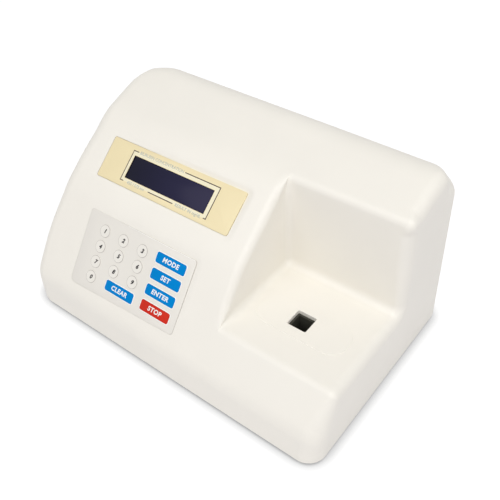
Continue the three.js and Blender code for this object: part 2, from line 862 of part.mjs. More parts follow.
function addFuseDrawer() {
  const z = inletZ + drawerRise;
  const back = flangeFace - drawerDepth;
  const drawer = block(about(inletX, drawerWidth), [back, flangeFace], about(z, drawerHeight));
  const fuseY = back + drawerDepth / 2;
  const troughWidth = 2 * (fuseRadius + seat);
  const trough = block(
    about(inletX, fuseLength + 2 * seat),
    about(fuseY, troughWidth),
    [z - troughWidth / 2, z + drawerHeight],
  );
  const grip = block(
    about(inletX, drawerWidth / 2),
    about(flangeFace, 2 * drawerGrip),
    [z + drawerHeight / 2 - drawerGrip, z + drawerHeight],
  );
  piece("fuse_drawer", geometryOf(cutFrom(joined(drawer), trough, grip)), "black");
  const fuse = bar(fuseRadius, fuseLength, [inletX - fuseLength / 2, fuseY, z], "x", keySides);
  piece("mains_fuse", fuse, "glass");
}

// The rocker's face is a shallow V; it rests tipped to its off side and turns on a pin across it
function addRocker() {
  const dip = (rockerWidth / 2) * tangent(rockerTilt);
  const half = rockerWidth / 2 - seat;
  const shape = new THREE.Shape();
  shape.moveTo(-half, 0);
  shape.lineTo(0, -dip);
  shape.lineTo(half, 0);
  shape.lineTo(half, -rockerDepth / 2);
  shape.lineTo(rockerDepth / 2, -rockerDepth - dip);
  shape.lineTo(-rockerDepth / 2, -rockerDepth - dip);
  shape.lineTo(-half, -rockerDepth / 2);
  const geometry = new THREE.ExtrudeGeometry(shape, { depth: rockerHeight, bevelEnabled: false });
  geometry.translate(0, 0, -rockerHeight / 2);
  const mesh = piece("power_rocker", geometryOf(joined(geometry)), "black");
  mesh.position.set(inletX, flangeFace - rockerRecess, inletZ + rockerRise);
  mesh.rotation.z = radians(-rockerTilt);
}

// A nine-pin socket: a flange on the panel and a shell with two rows of holes
function addSerialPort() {
  const faceY = panelFace + seat;
  const flange = block(
    about(portX, portFlangeWidth),
    [faceY, faceY + portFlangeThickness],
    about(portZ, portFlangeHeight),
  );
  const shell = block(
    about(portX, portShellWidth),
    [panelFace - portBodyDepth, faceY + portShellDepth],
    about(portZ, portShellHeight),
  );
  const holes = [[5, 1], [4, -1]].flatMap(([count, row]) => Array.from({ length: count }, (_, index) => {
    const x = portX + (index - (count - 1) / 2) * portPinPitch;
    const z = portZ + (row * portRowPitch) / 2;
    return bar(portPinHole, portShellDepth + overrun, [x, faceY, z], "y", pinSides);
  }));
  piece("serial_port", geometryOf(cutFrom(joined(flange, shell), ...holes)), "steel");
}

function addDisplay() {
  const bezelLow = -bezelPocket + seat;
  const plate = slab(
    [bezelLeft, bezelLeft + bezelWidth],
    [bezelBottom, bezelBottom + bezelHeight],
    [bezelLow, bezelLow + bezelThickness],
    bezelCorner,
  );
  const hole = block(
    about(lcdCentreX, windowWidth),
    about(lcdCentreV, windowHeight),
    [-overrun, overrun],
  );
  piece("display_bezel", geometryOf(cutFrom(joined(plate), hole)), "bezel", displayGroup);
  const windowTop = bezelLow - seat;
  piece("display_window", slab(
    about(lcdCentreX, windowWidth + 2 * windowLap),
    about(lcdCentreV, windowHeight + 2 * windowLap),
    [windowTop - windowThickness, windowTop],
    bezelCorner,
  ), "window", displayGroup);
  piece("lcd_module", block(
    about(lcdCentreX, lcdWidth),
    about(lcdCentreV, lcdHeight),
    [lcdTop - lcdThickness, lcdTop],
  ), "steel", displayGroup);
  piece("lcd_board", block(
    about(lcdCentreX, lcdBoardWidth),
    about(lcdCentreV, lcdBoardHeight),
    [lcdBoardTop - boardThickness, lcdBoardTop],
  ), "board", displayGroup);
}

// The keys: name, finish, and place and size on the keypad's facet
function keyTable() {
  const digits = Array.from({ length: 10 }, (_, index) => ({
    name: `key_${(index + 1) % 10}`,
    finish: "digitKey",
    x: keypadLeft + roundKeyInset + (index % 3) * keyPitchX,
    v: keypadBottom + longKeyRise - roundKeyDrop - Math.floor(index / 3) * keyPitchV,
  }));
  const column = ["key_mode", "key_set", "key_enter", "key_stop"].map((name, index) => ({
    name,
    finish: name === "key_stop" ? "redKey" : "blueKey",
    x: keypadLeft + longKeyInset,
    v: keypadBottom + longKeyRise - index * keyPitchV,
    width: longKeyWidth,
  }));
  const clear = {
    name: "key_clear",
    finish: "blueKey",
    x: keypadLeft + wideKeyInset,
    v: keypadBottom + wideKeyRise,
    width: wideKeyWidth,
  };
  return [...digits, ...column, clear];
}

// A key's body grown by a margin, between two heights over the facet. Keys with no width are round.
function keyBody(key, margin, low, high) {
  if (!key.width) return bar(roundKeyRadius + margin, high - low, [key.x, key.v, low], "z", keySides);
  return slab(
    about(key.x, key.width + 2 * margin),
    about(key.v, longKeyHeight + 2 * margin),
    [low, high],
    longKeyCorner + margin,
  );
}

function addKeypad() {
  const low = -keypadPocket + seat;
  const keys = keyTable();
  const film = slab(
    [keypadLeft, keypadLeft + keypadWidth],
    [keypadBottom, keypadBottom + keypadHeight],
    [low, low + overlayThickness],
    keypadCorner,
  );
  const holes = keys.map((key) => keyBody(key, seat, -overrun, overrun));
  piece("keypad_overlay", geometryOf(cutFrom(joined(film), ...holes)), "overlay", keypadGroup);
  const flangeTop = low - seat;
  keys.forEach((key) => {
    const stem = keyBody(key, 0, flangeTop - keyFlangeThickness / 2, keyProud);
    const flange = keyBody(key, keyFlange, flangeTop - keyFlangeThickness, flangeTop);
    piece(key.name, geometryOf(joined(stem, flange)), key.finish, keypadGroup);
  });
  const margin = keypadRim + seat;
  piece("keypad_board", slab(
    [keypadLeft + margin, keypadLeft + keypadWidth - margin],
    [keypadBottom + margin, keypadBottom + keypadHeight - margin],
    [-keypadBoardDrop - boardThickness, -keypadBoardDrop],
    keypadCorner - seat,
  ), "board", keypadGroup);
}

function addMainBoard() {
  const top = boardBottom + boardThickness;
  const board = block(
    [mainBoardLeft, mainBoardLeft + mainBoardWidth],
    [mainBoardFront, mainBoardFront + mainBoardDepth],
    [boardBottom, top],
  );
  const middleX = mainBoardLeft + mainBoardWidth / 2;
  const middleY = mainBoardFront + mainBoardDepth / 2;
  const sunk = top - boardThickness / 2;
  const chips = about(middleX, 2 * chipSide).map((x) => (
    block(about(x, chipSide), about(middleY, chipSide), [sunk, top + chipHeight])));
  const headers = [displayHeaderY, keypadHeaderY].map((y) => (
    block(about(middleX, headerLength), [y, y + headerWidth], [sunk, top + headerHeight])));
  const capacitor = bar(capacitorRadius, capacitorHeight + boardThickness / 2,
    [mainBoardLeft + mainBoardWidth - 2 * capacitorRadius, mainBoardFront + 2 * capacitorRadius, sunk]);
  piece("main_board", geometryOf(joined(board, ...chips, ...headers, capacitor)), "board");
}

// A flat ribbon through points of the side view, carried across its width
function ribbon(points, middleX, width) {
  const knots = points.map(([y, z]) => new THREE.Vector3(0, y, z));
  const along = new THREE.CatmullRomCurve3(knots, false, "centripetal").getPoints(leadSteps);
  const upper = [];
  const lower = [];
  along.forEach((point, index) => {
    const next = along[Math.min(index + 1, leadSteps)];
    const last = along[Math.max(index - 1, 0)];
    const side = new THREE.Vector2(last.z - next.z, next.y - last.y).setLength(ribbonThickness / 2);
    upper.push(new THREE.Vector2(point.y + side.x, point.z + side.y));
    lower.unshift(new THREE.Vector2(point.y - side.x, point.z - side.y));
  });
  const shape = new THREE.Shape([...upper, ...lower]);
  const geometry = new THREE.ExtrudeGeometry(shape, { depth: width, bevelEnabled: false });
  geometry.applyMatrix4(new THREE.Matrix4().makeBasis(
    new THREE.Vector3(0, 1, 0), new THREE.Vector3(0, 0, 1), new THREE.Vector3(1, 0, 0)));
  return geometry.translate(middleX - width / 2, 0, 0);
}

function addRibbons() {
  const middleX = mainBoardLeft + mainBoardWidth / 2;
  const headerTop = boardBottom + boardThickness + headerHeight + seat;
  const displayBack = -lcdBoardTop + boardThickness + ribbonThickness;
  const displayEnd = displayHeaderY + headerWidth / 2;
  piece("display_ribbon", ribbon([
    facetPoint(ridge, displayAngle, lcdCentreV, displayBack),
    facetPoint(ridge, displayAngle, lcdCentreV, displayBack + headerLength),
    [displayEnd, headerTop + headerLength],
    [displayEnd, headerTop],
  ], middleX, displayRibbonWidth), "ribbon");
  const keypadBack = keypadBoardDrop + boardThickness + ribbonThickness;
  const keypadMiddle = keypadBottom + keypadHeight / 2;
  const keypadEnd = keypadHeaderY + headerWidth / 2;
  piece("keypad_ribbon", ribbon([
    facetPoint(lipTop, keypadAngle, keypadMiddle, keypadBack),
    facetPoint(lipTop, keypadAngle, keypadMiddle, keypadBack + headerWidth),
    [keypadEnd, headerTop + headerWidth],
    [keypadEnd, headerTop],
  ], middleX, keypadRibbonWidth), "ribbon");
}

// The optics stand on their own plate: lamp and lens on the left, the splitter on the right
function addOptics() {
  const ys = about(cuvetteY, opticsWidth);
  const postLow = plateTop + seat;
  const postPlaces = cornersOf(
    [opticsLeft + opticsPostInset, opticsRight - opticsPostInset],
    about(cuvetteY, opticsWidth - 2 * opticsPostInset),
  );
  const posts = postPlaces.map(([x, y]) => (
    bar(opticsPostRadius, opticsFloor + opticsPlate / 2 - postLow, [x, y, postLow], "z", screwSides)));
  const plate = block([opticsLeft, opticsRight], ys, [opticsFloor, opticsTop]);
  piece("optics_plate", geometryOf(joined(plate, ...posts)), "aluminium");
  addCuvetteWell();
  addLamp();
  addSplitter();
}

// A round bar along the beam, or across it through a given x
const alongBeam = (radius, from, to) => (
  bar(radius, to - from, [from, cuvetteY, beamHeight], "x", keySides));
const acrossBeam = (radius, x, from, to) => (
  bar(radius, to - from, [x, from, beamHeight], "y", keySides));

function addCuvetteWell() {
  const high = wellBase + cuvetteWellHeight;
  const [left, right] = about(cuvetteX, cuvetteWellSide);
  const outer = block([left, right], about(cuvetteY, cuvetteWellSide), [wellBase, high]);
  const bore = block(
    about(cuvetteX, cuvetteBore),
    about(cuvetteY, cuvetteBore),
    [wellBase + cuvetteWellFloor, high + overrun],
  );
  const beam = alongBeam(beamRadius, left - overrun, right + overrun);
  piece("cuvette_well", geometryOf(cutFrom(joined(outer), bore, beam)), "black");
}

function addLamp() {
  const right = cuvetteX - cuvetteWellSide / 2 - seat;
  const left = right - lampHolderWidth;
  const heights = [wellBase, wellBase + lampHolderHeight];
  const holder = block([left, right], about(cuvetteY, lampHolderDepth), heights);
  const lampBore = alongBeam(lampRadius + seat, left - overrun, left + lampLength);
  const lensBore = alongBeam(lensRadius + seat, right - lensThickness - seat, right + overrun);
  const beam = alongBeam(beamRadius, left, right + overrun);
  piece("lamp_holder", geometryOf(cutFrom(joined(holder), lampBore, lensBore, beam)), "black");
  piece("lamp", alongBeam(lampRadius, left - seat, left - seat + lampLength), "glass");
  piece("collimating_lens", alongBeam(lensRadius, right - lensThickness, right - seat), "glass");
}

function addSplitter() {
  const left = cuvetteX + cuvetteWellSide / 2 + seat;
  const right = left + splitterSide;
  const middle = (left + right) / 2;
  const rear = cuvetteY + splitterSide / 2;
  const high = wellBase + splitterHeight;
  const body = block([left, right], about(cuvetteY, splitterSide), [wellBase, high]);
  const filterSeat = filterThickness + seat;
  const cuts = [
    alongBeam(splitterBore, left - overrun, right + overrun),
    acrossBeam(splitterBore, middle, cuvetteY, rear + overrun),
    alongBeam(filterRadius + seat, right - filterSeat, right + overrun),
    acrossBeam(filterRadius + seat, middle, rear - filterSeat, rear + overrun),
    splitterPlate(middle, seat, high + overrun),
  ];
  piece("splitter_block", geometryOf(cutFrom(joined(body), ...cuts)), "black");
  piece("beam_splitter", splitterPlate(middle, 0, beamHeight + splitterGlassWidth / 2), "glass");
  const blue = alongBeam(filterRadius, right - filterThickness, right - seat);
  piece("blue_filter", blue, "blueGlass");
  const green = acrossBeam(filterRadius, middle, rear - filterThickness, rear - seat);
  piece("green_filter", green, "greenGlass");
  addDetectors(right, rear, middle);
}

// The splitter's glass stands upright, turned half a right angle across the beam
function splitterPlate(x, margin, high) {
  const low = beamHeight - splitterGlassWidth / 2 - margin;
  const glass = block(
    about(0, splitterGlassWidth + 2 * margin),
    about(0, splitterGlass + 2 * margin),
    [low, high],
  );
  return glass.rotateZ(Math.PI / 4).translate(x, cuvetteY, 0);
}

// A board behind each filter, with its detector's can on the front
function addDetectors(right, rear, middle) {
  const heights = [wellBase, wellBase + detectorHeight];
  const reach = seat + detectorCanLength;
  const blueX = [right + reach, right + reach + boardThickness];
  const blueCan = alongBeam(detectorCanRadius, right + seat, blueX[0] + boardThickness / 2);
  const blueBoard = joined(block(blueX, about(cuvetteY, detectorSide), heights), blueCan);
  piece("blue_detector_board", geometryOf(blueBoard), "board");
  const greenY = [rear + reach, rear + reach + boardThickness];
  const greenCan = acrossBeam(detectorCanRadius, middle, rear + seat, greenY[0] + boardThickness / 2);
  const greenBoard = joined(block(about(middle, detectorSide), greenY, heights), greenCan);
  piece("green_detector_board", geometryOf(greenBoard), "board");
}

function addTransformer() {
  const low = plateTop + seat;
  const core = block(
    about(transformerX, coreWidth),
    about(transformerY, coreDepth),
    [low, low + coreHeight],
  );
  const coil = block(
    about(transformerX, coilWidth),
    about(transformerY, coilDepth),
    about(low + coreHeight / 2, coilHeight),
  );
  piece("mains_transformer", geometryOf(joined(core, coil)), "copper");
}

// A round lead through points chosen by hand
function lead(points, radius) {
  const knots = points.map((point) => new THREE.Vector3(...point));
  const curve = new THREE.CatmullRomCurve3(knots, false, "centripetal");
  const section = new THREE.Shape();
  section.absarc(0, 0, radius, 0, Math.PI * 2);
  const geometry = new THREE.ExtrudeGeometry(section, {
    steps: leadSteps, curveSegments: leadSides / 2, extrudePath: curve, bevelEnabled: false,
  });
  return geometryOf(solidOf(geometry));
}

function addLeads() {
  const inletBack = flangeFace - inletBodyDepth - seat;
  const coreLeft = transformerX - coreWidth / 2 - seat;
  const coreZ = plateTop + seat + coreHeight / 2;
  piece("mains_lead", lead([
    [inletX, inletBack, inletZ],
    [inletX, inletBack - 3 * leadRadius, inletZ],
    [(inletX + coreLeft) / 2, inletBack - 2 * leadRadius, (inletZ + coreZ) / 2],
    [coreLeft - 3 * leadRadius, transformerY, coreZ],
    [coreLeft, transformerY, coreZ],
  ], leadRadius), "black");
  const boardX = mainBoardLeft + mainBoardWidth - 4 * lampLeadRadius;
  const boardTop = boardBottom + boardThickness + seat;
  const holderX = cuvetteX - cuvetteWellSide / 2 - lampHolderWidth / 2;
  const holderRear = cuvetteY + lampHolderDepth / 2 + seat;
  const turn = 4 * lampLeadRadius;
  piece("lamp_lead", lead([
    [holderX, holderRear, beamHeight],
    [holderX, holderRear + turn, beamHeight],
    [boardX + turn, holderRear + turn, beamHeight - turn],
    [boardX, holderRear, boardTop + turn],
    [boardX, holderRear, boardTop],
  ], lampLeadRadius), "rubber");
}

addBase();
addRearPanel();
addMainsModule();
addSerialPort();
addDisplay();
addKeypad();
addMainBoard();
addRibbons();
addOptics();
addTransformer();
addLeads();

// The origin is the middle of the footprint, on the surface that the feet stand on
root.position.set(-coverWidth / 2, -coverDepth / 2, footDrop);

export default root;
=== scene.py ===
"""A benchtop bilirubin meter: its moulded cover, display plate, keypad and rear sockets, finished
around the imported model. Sizes are in millimetres in the part's own drawing frame: x from the left
end, y from the front, z from the cover's lower edge. PART takes them to the shared frame."""

from collections import namedtuple
from math import atan2, cos, hypot, pi, radians, sin, tan

import bmesh
import bpy
from mathutils import Matrix, Vector


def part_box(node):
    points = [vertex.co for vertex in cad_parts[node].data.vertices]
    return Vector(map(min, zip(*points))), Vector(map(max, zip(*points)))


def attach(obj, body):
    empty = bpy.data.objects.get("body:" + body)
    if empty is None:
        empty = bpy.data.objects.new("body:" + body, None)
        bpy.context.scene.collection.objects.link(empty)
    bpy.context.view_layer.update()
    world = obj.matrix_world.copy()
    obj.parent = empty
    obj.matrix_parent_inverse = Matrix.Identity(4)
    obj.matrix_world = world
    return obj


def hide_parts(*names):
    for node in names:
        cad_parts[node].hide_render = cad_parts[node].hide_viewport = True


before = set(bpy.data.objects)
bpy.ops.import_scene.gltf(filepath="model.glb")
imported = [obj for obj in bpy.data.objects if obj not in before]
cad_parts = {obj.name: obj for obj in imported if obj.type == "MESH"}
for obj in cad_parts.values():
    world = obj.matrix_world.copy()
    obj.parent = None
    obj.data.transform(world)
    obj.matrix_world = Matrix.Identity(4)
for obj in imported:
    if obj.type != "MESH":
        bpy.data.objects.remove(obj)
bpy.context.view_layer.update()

MM = 0.001
cover_low, cover_high = (Vector(corner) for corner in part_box("housing_cover"))
PART = Matrix.Translation(cover_low) @ Matrix.Scale(MM, 4)

# The cover's side outline, as the part's drawing gives it
COVER_WIDTH = (cover_high.x - cover_low.x) / MM
COVER_DEPTH = (cover_high.y - cover_low.y) / MM
KEYPAD_ANGLE = radians(52.7)
DISPLAY_ANGLE = radians(39.2)
TOP_ANGLE = radians(17)
DRAFT_ANGLE = radians(2.2)
WALL = 3
LIP_LEAN = 4.3
LIP_HEIGHT = 24.1
KEYPAD_FACET = 84.8
DISPLAY_FACET = 68
LIP_ROUND = 30
RIDGE_ROUND = 60
BROW_ROUND = 60
REAR_ROUND_LEFT = 19.4
REAR_ROUND_RIGHT = 28
# What the rear rounding gains towards the left end, and from how far away
REAR_CORNER_GAIN = 16
REAR_CORNER_REACH = 44
RIGHT_EDGE_ROUND = 8
RIGHT_CORNER_ROUND = 14.5
RIGHT_CORNER_FADE = 15
RIGHT_REAR_ROUND = 10
RIGHT_TOP_CORNER = 9.5
RIGHT_BACK_ROUND = 10
RIGHT_BACK_RISE = 40
# What the right end's rounding may gain with each millimetre away from the bay's edges
RIGHT_ROUND_GAIN = 0.7
# The left end's rounding, at heights that are a step apart
LEFT_ROUNDS = [27, 18.6, 14.9, 12, 10.6, 12.2, 15.6, 16.3, 15.6, 20.7, 15.5, 11]
LEFT_ROUND_STEP = 14

# The sample bay
BAY_LEFT = COVER_WIDTH - 101
BAY_BACK = 115
BAY_FLOOR = 54
BAY_EDGE_ROUND = 6.4
BAY_LIP_ROUND = 7.2
BAY_FILLET = 6
BAY_ROUND_FADE = 18
BAY_ROUND_SHARE = 0.4

# Clearances, and how near two points lie that count as one
SEAT = 0.3
OVERRUN = 5
SAME_PLACE = 0.001
# How far an edge turns before it shows as sharp, before it gets a bevel, and still counts as flat
SHARP_ANGLE = radians(32)
EASED_ANGLE = radians(30)
FLAT_ANGLE = radians(1)
# Steps around a round shape, around a screw or its hole, and around a slab's corner
ROUND_STEPS = 48
SCREW_STEPS = 32
CORNER_STEPS = 8

LIP_TOP = Vector((LIP_LEAN, LIP_HEIGHT))
RIDGE = LIP_TOP + KEYPAD_FACET * Vector((cos(KEYPAD_ANGLE), sin(KEYPAD_ANGLE)))
BROW = RIDGE + DISPLAY_FACET * Vector((cos(DISPLAY_ANGLE), sin(DISPLAY_ANGLE)))
REAR_TOP = Vector((COVER_DEPTH, BROW.y + (COVER_DEPTH - BROW.x) * tan(TOP_ANGLE)))
BAY_LIP_Y = LIP_LEAN + (BAY_FLOOR - LIP_HEIGHT) / tan(KEYPAD_ANGLE)
BAY_BROW_Z = BROW.y + (BAY_BACK - BROW.x) * tan(TOP_ANGLE)
BAY_EDGES = ((Vector((BAY_LIP_Y, BAY_FLOOR)), BAY_LIP_ROUND),
             (Vector((BAY_BACK, BAY_BROW_Z)), BAY_EDGE_ROUND))

# Frames of the two sloping facets: x along the width, y up the face, z out
KEYPAD_FACE = Matrix.Translation((0, *LIP_TOP)) @ Matrix.Rotation(KEYPAD_ANGLE, 4, "X")
DISPLAY_FACE = Matrix.Translation((0, *RIDGE)) @ Matrix.Rotation(DISPLAY_ANGLE, 4, "X")

# How many steps the cover's skin has at its roundings, along its outline and across the width
Steps = namedtuple("Steps", "lip ridge brow rear end edge fillet "
                            "front keypad display floor top back across wall side")
FINE = Steps(lip=12, ridge=6, brow=10, rear=14, end=14, edge=8, fillet=5,
             front=4, keypad=48, display=44, floor=44, top=14, back=6, across=140, wall=10, side=30)
COARSE = Steps(lip=4, ridge=3, brow=4, rear=6, end=4, edge=3, fillet=2,
               front=1, keypad=4, display=2, floor=2, top=1, back=1, across=1, wall=1, side=1)

# The stretch of a noise's values that a blend of colours, or a spread of gloss, runs over
BLEND_STOPS = (0.3, 0.7)
SPREAD_STOPS = (0.25, 0.75)
# How far a finish's roughness goes below and above its own value
GLOSS_BELOW, GLOSS_ABOVE = 0.04, 0.06
# The window's colour at its left end, in its middle and at its right end: a dark pane with a
# painted reflection that grows lighter to the right
WINDOW_TONES_WITH_REFLECTION = ("#03041E", "#201F39", "#292542")
WINDOW_GRAIN = 3
WINDOW_ROUGHNESS = (0.16, 0.24)
WINDOW_SPECULAR = 0.12
# The rays that show a surface to the camera, to mirrors and through glass
SHOWING_RAYS = ("Is Camera Ray", "Is Glossy Ray", "Is Transmission Ray")


def linear(code):
    """A colour written as in a paint chart, as the shader wants it"""
    channels = [int(code[i:i + 2], 16) / 255 for i in (1, 3, 5)]
    return tuple(c / 12.92 if c <= 0.04045 else ((c + 0.055) / 1.055) ** 2.4 for c in channels)


def shaded(colour, factor):
    return tuple(min(1, channel * factor) for channel in colour)


class Nodes:
    """The nodes of a material or a world, with short calls for what several of them need"""

    def __init__(self, owner):
        owner.use_nodes = True
        self.owner = owner
        self.tree = owner.node_tree
        self.shader = self.tree.nodes.get("Principled BSDF")

    def add(self, kind, *values, **named):
        return self.set(self.tree.nodes.new(kind), *values, **named)

    def set(self, node, *values, **named):
        """Gives input sockets, in their order or by name, a value or another node's output"""
        for key, value in [*enumerate(values), *named.items()]:
            socket = node.inputs[key if isinstance(key, int) else key.replace("_", " ")]
            if isinstance(value, bpy.types.NodeSocket):
                self.tree.links.new(value, socket)
            else:
                socket.default_value = value
        return node

    def places(self):
        return self.add("ShaderNodeTexCoord").outputs["Object"]

    def noise(self, size, detail=2, stretch=(1, 1, 1)):
        """Noise whose lumps are about a size across, in millimetres"""
        mapping = self.add("ShaderNodeMapping", Vector=self.places(), Scale=stretch)
        noise = self.add("ShaderNodeTexNoise", Vector=mapping.outputs["Vector"],
                         Scale=1 / (size * MM), Detail=detail)
        return noise.outputs["Fac"]

    def mapped(self, amount, span, low, high):
        """A value that goes from low to high while an output goes over a span"""
        node = self.add("ShaderNodeMapRange", Value=amount, From_Min=span[0], From_Max=span[1],
                        To_Min=low, To_Max=high)
        return node.outputs["Result"]

    def ramp(self, amount, stops, colours):
        """A colour between others, which an output reaches at its stops from 0 to 1"""
        node = self.add("ShaderNodeValToRGB", Fac=amount)
        elements = node.color_ramp.elements
        elements[0].position, elements[-1].position = stops[0], stops[-1]
        for stop in stops[1:-1]:
            elements.new(stop)
        for element, colour in zip(elements, colours):
            element.color = (*colour, 1)
        return node.outputs["Color"]

    def seen(self):
        """1 for a ray that shows the surface, 0 for one that only lights something with it"""
        path = self.add("ShaderNodeLightPath")
        result = 0
        for name in SHOWING_RAYS:
            larger = self.add("ShaderNodeMath", result, path.outputs[name])
            larger.operation = "MAXIMUM"
            result = larger.outputs[0]
        return result


def finish(name, code, roughness, variation=0.03, patch=40, grain=0.35, relief=0.003,
           stretch=(1, 1, 1), specular=0.5, clear=0, metallic=0):
    """A finish with soft patches of tone, a fine surface grain and uneven gloss"""
    nodes = Nodes(bpy.data.materials.new(name))
    colour = linear(code)
    tones = (shaded(colour, 1 - variation), shaded(colour, 1 + variation / 2))
    tone = nodes.ramp(nodes.noise(patch, detail=3), BLEND_STOPS, tones)
    fine = nodes.noise(grain, stretch=stretch)
    gloss = nodes.mapped(fine, SPREAD_STOPS, roughness - GLOSS_BELOW, roughness + GLOSS_ABOVE)
    bump = nodes.add("ShaderNodeBump", Height=fine, Distance=relief * MM)
    nodes.set(nodes.shader, Base_Color=tone, Roughness=gloss, Normal=bump.outputs["Normal"],
              Specular_IOR_Level=specular, Transmission_Weight=clear, Metallic=metallic)
    return nodes.owner


def window_finish():
    """The dark pane, with a painted reflection that makes it lighter and more violet from left to
    right
    """
    nodes = Nodes(bpy.data.materials.new("dark_window"))
    split = nodes.add("ShaderNodeSeparateXYZ", nodes.places())
    ends = [corner[0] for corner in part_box("display_window")]
    across = nodes.mapped(split.outputs["X"], ends, 0, 1)
    pane_with_reflection = nodes.ramp(across, (0, 0.5, 1), [linear(code) for code in WINDOW_TONES_WITH_REFLECTION])
    gloss = nodes.mapped(nodes.noise(WINDOW_GRAIN), SPREAD_STOPS, *WINDOW_ROUGHNESS)
    nodes.set(nodes.shader, Base_Color=pane_with_reflection, Roughness=gloss, Specular_IOR_Level=WINDOW_SPECULAR)
    return nodes.owner


FINISHES = {
    "cover": finish("moulded_cream_plastic", "#F0ECE3", 0.42, variation=0.012, relief=0.006),
    "overlay": finish("printed_film", "#E8E4DC", 0.38, variation=0.01, grain=0.25, specular=0.25),
    # Raised rims around the long keys and the bead on the film: lighter than the film, as a painted
    # highlight
    "rim_and_highlight": finish("raised_rim_with_painted_highlight", "#FAF9F5", 0.35, variation=0.01),
    "digit_key": finish("digit_key_film", "#EBE7DF", 0.36, variation=0.01),
    "ring": finish("printed_ring", "#ACA7A0", 0.4, variation=0.04, relief=0.002),
    "blue_key": finish("blue_key_film", "#0283CE", 0.36, specular=0.03),
    "red_key": finish("red_key_film", "#CF3426", 0.36, specular=0.03),
    "dark_ink": finish("black_ink", "#1A1719", 0.5, variation=0.1, relief=0.002, specular=0.2),
    "white_ink": finish("white_ink", "#F3F3F0", 0.45, variation=0.02, relief=0.002),
    # Brown print for the frame, also used as painted shade on the walls of the display plate's
    # opening
    "brown_ink_and_shade": finish("brown_ink_and_shade", "#3A2833", 0.5, variation=0.1, relief=0.002, specular=0.2),
    "pale_ink": finish("pale_ink", "#B2B8B2", 0.5, variation=0.05, relief=0.002),
    "bezel": finish("printed_plate", "#EBDCB1", 0.4, patch=60),
    "bezel_light": finish("printed_plate_panel", "#EFE7C8", 0.4, patch=60),
    "window": window_finish(),
    "black": finish("black_moulding", "#19191A", 0.45, variation=0.15, relief=0.012),
    "rubber": finish("foot_rubber", "#242426", 0.8, variation=0.2, grain=0.5, relief=0.03),
    "steel": finish("plated_steel", "#B9BABB", 0.3, variation=0.06, relief=0.004, metallic=1),
    "aluminium": finish("brushed_aluminium", "#C9CACB", 0.35, variation=0.05, relief=0.006,
                        stretch=(0.04, 1, 1), metallic=1),
    # The well's dark moulding, made lighter than black as painted light inside the shaded hole
    "well": finish("well_moulding_with_painted_light", "#42413A", 0.6, variation=0.1, relief=0.01, specular=0.2),
    "board": finish("solder_mask", "#1D5B36", 0.4, variation=0.3, patch=3, relief=0.02),
    "glass": finish("clear_glass", "#EAF4F6", 0.06, variation=0.01, relief=0.0002, clear=0.9),
    "blue_glass": finish("blue_filter_glass", "#3A62C4", 0.06, variation=0.02, relief=0.0002,
                         clear=0.7),
    "green_glass": finish("green_filter_glass", "#59A65C", 0.06, variation=0.02, relief=0.0002,
                          clear=0.7),
    "ribbon": finish("flat_cable", "#B6B9BF", 0.5, variation=0.1, patch=1.3, relief=0.02),
}


def rounded_path(corners):
    """Points and outward normals along a side outline, from corners (place, rounding, steps)"""
    path = []
    for index, (here, rounding, steps) in enumerate(corners):
        before = (here - corners[index - 1][0]).normalized() if index else None
        after = (corners[index + 1][0] - here).normalized() if index < len(corners) - 1 else None
        if not rounding:
            path.append((here, left_of(before or after)))
            continue
        turn = atan2(before.cross(after), before.dot(after))
        side = 1 if turn > 0 else -1
        start = here - before * rounding * tan(abs(turn) / 2)
        centre = start + left_of(before) * side * rounding
        for step in range(steps + 1):
            normal = Matrix.Rotation(turn * step / steps, 2) @ left_of(before)
            path.append((centre - normal * side * rounding, normal))
    return path


def left_of(direction):
    return Vector((-direction.y, direction.x))


def filled(path, counts):
    """A path with points spread evenly in some of its gaps, by the number of the point before"""
    points = []
    for number, (place, normal) in enumerate(path):
        points.append((place, normal))
        count = counts.get(number, 0)
        points += [(place.lerp(path[number + 1][0], (i + 1) / (count + 1)), normal)
                   for i in range(count)]
    return points


def outlines(steps, x):
    """The outline with the display's slope and the one through the bay at a place along the width.
    They have equal counts of points and differ only from a first to a last one."""
    rear_round = REAR_ROUND_LEFT + (REAR_ROUND_RIGHT - REAR_ROUND_LEFT) * x / COVER_WIDTH
    rear_round += REAR_CORNER_GAIN * smooth_step(1 - x / REAR_CORNER_REACH)
    front = [(Vector((0, 0)), 0, 0), (LIP_TOP, LIP_ROUND, steps.lip)]
    rear = [(REAR_TOP, rear_round, steps.rear), (Vector((COVER_DEPTH, 0)), 0, 0)]
    bay = rounded_path(front + [
        (*BAY_EDGES[0], steps.edge),
        (Vector((BAY_BACK, BAY_FLOOR)), BAY_FILLET, steps.fillet),
        (*BAY_EDGES[1], steps.edge),
    ] + rear)
    full = rounded_path(front + [
        (RIDGE, RIDGE_ROUND, steps.ridge),
        (BROW, BROW_ROUND, steps.brow),
    ] + rear)
    start = steps.lip + 2
    brow_end = start + steps.ridge + 1 + steps.brow
    edge_end = start + steps.edge
    fillet_end = edge_end + 1 + steps.fillet
    bay_end = fillet_end + 1 + steps.edge
    sloped = [*full[:start], (bay[start][0], full[start][1]), *full[start:]]
    stepped = [*full[:start], *bay[start:bay_end + 1], *full[brow_end:]]
    wall = len(sloped) + steps.keypad + steps.display - len(stepped) - steps.floor
    sloped = filled(sloped, {0: steps.front, start: steps.keypad,
                             start + 1 + steps.ridge: steps.display,
                             brow_end + 1: steps.top, len(sloped) - 2: steps.back})
    stepped = filled(stepped, {0: steps.front, edge_end: steps.floor, fillet_end: wall,
                               bay_end + 1: steps.top, len(stepped) - 2: steps.back})
    last = brow_end + 1 + steps.front + steps.keypad + steps.display
    return sloped, stepped, start + steps.front, last


def clamped(value):
    return min(1, max(0, value))


def smooth_step(value):
    value = clamped(value)
    return value * value * (3 - 2 * value)


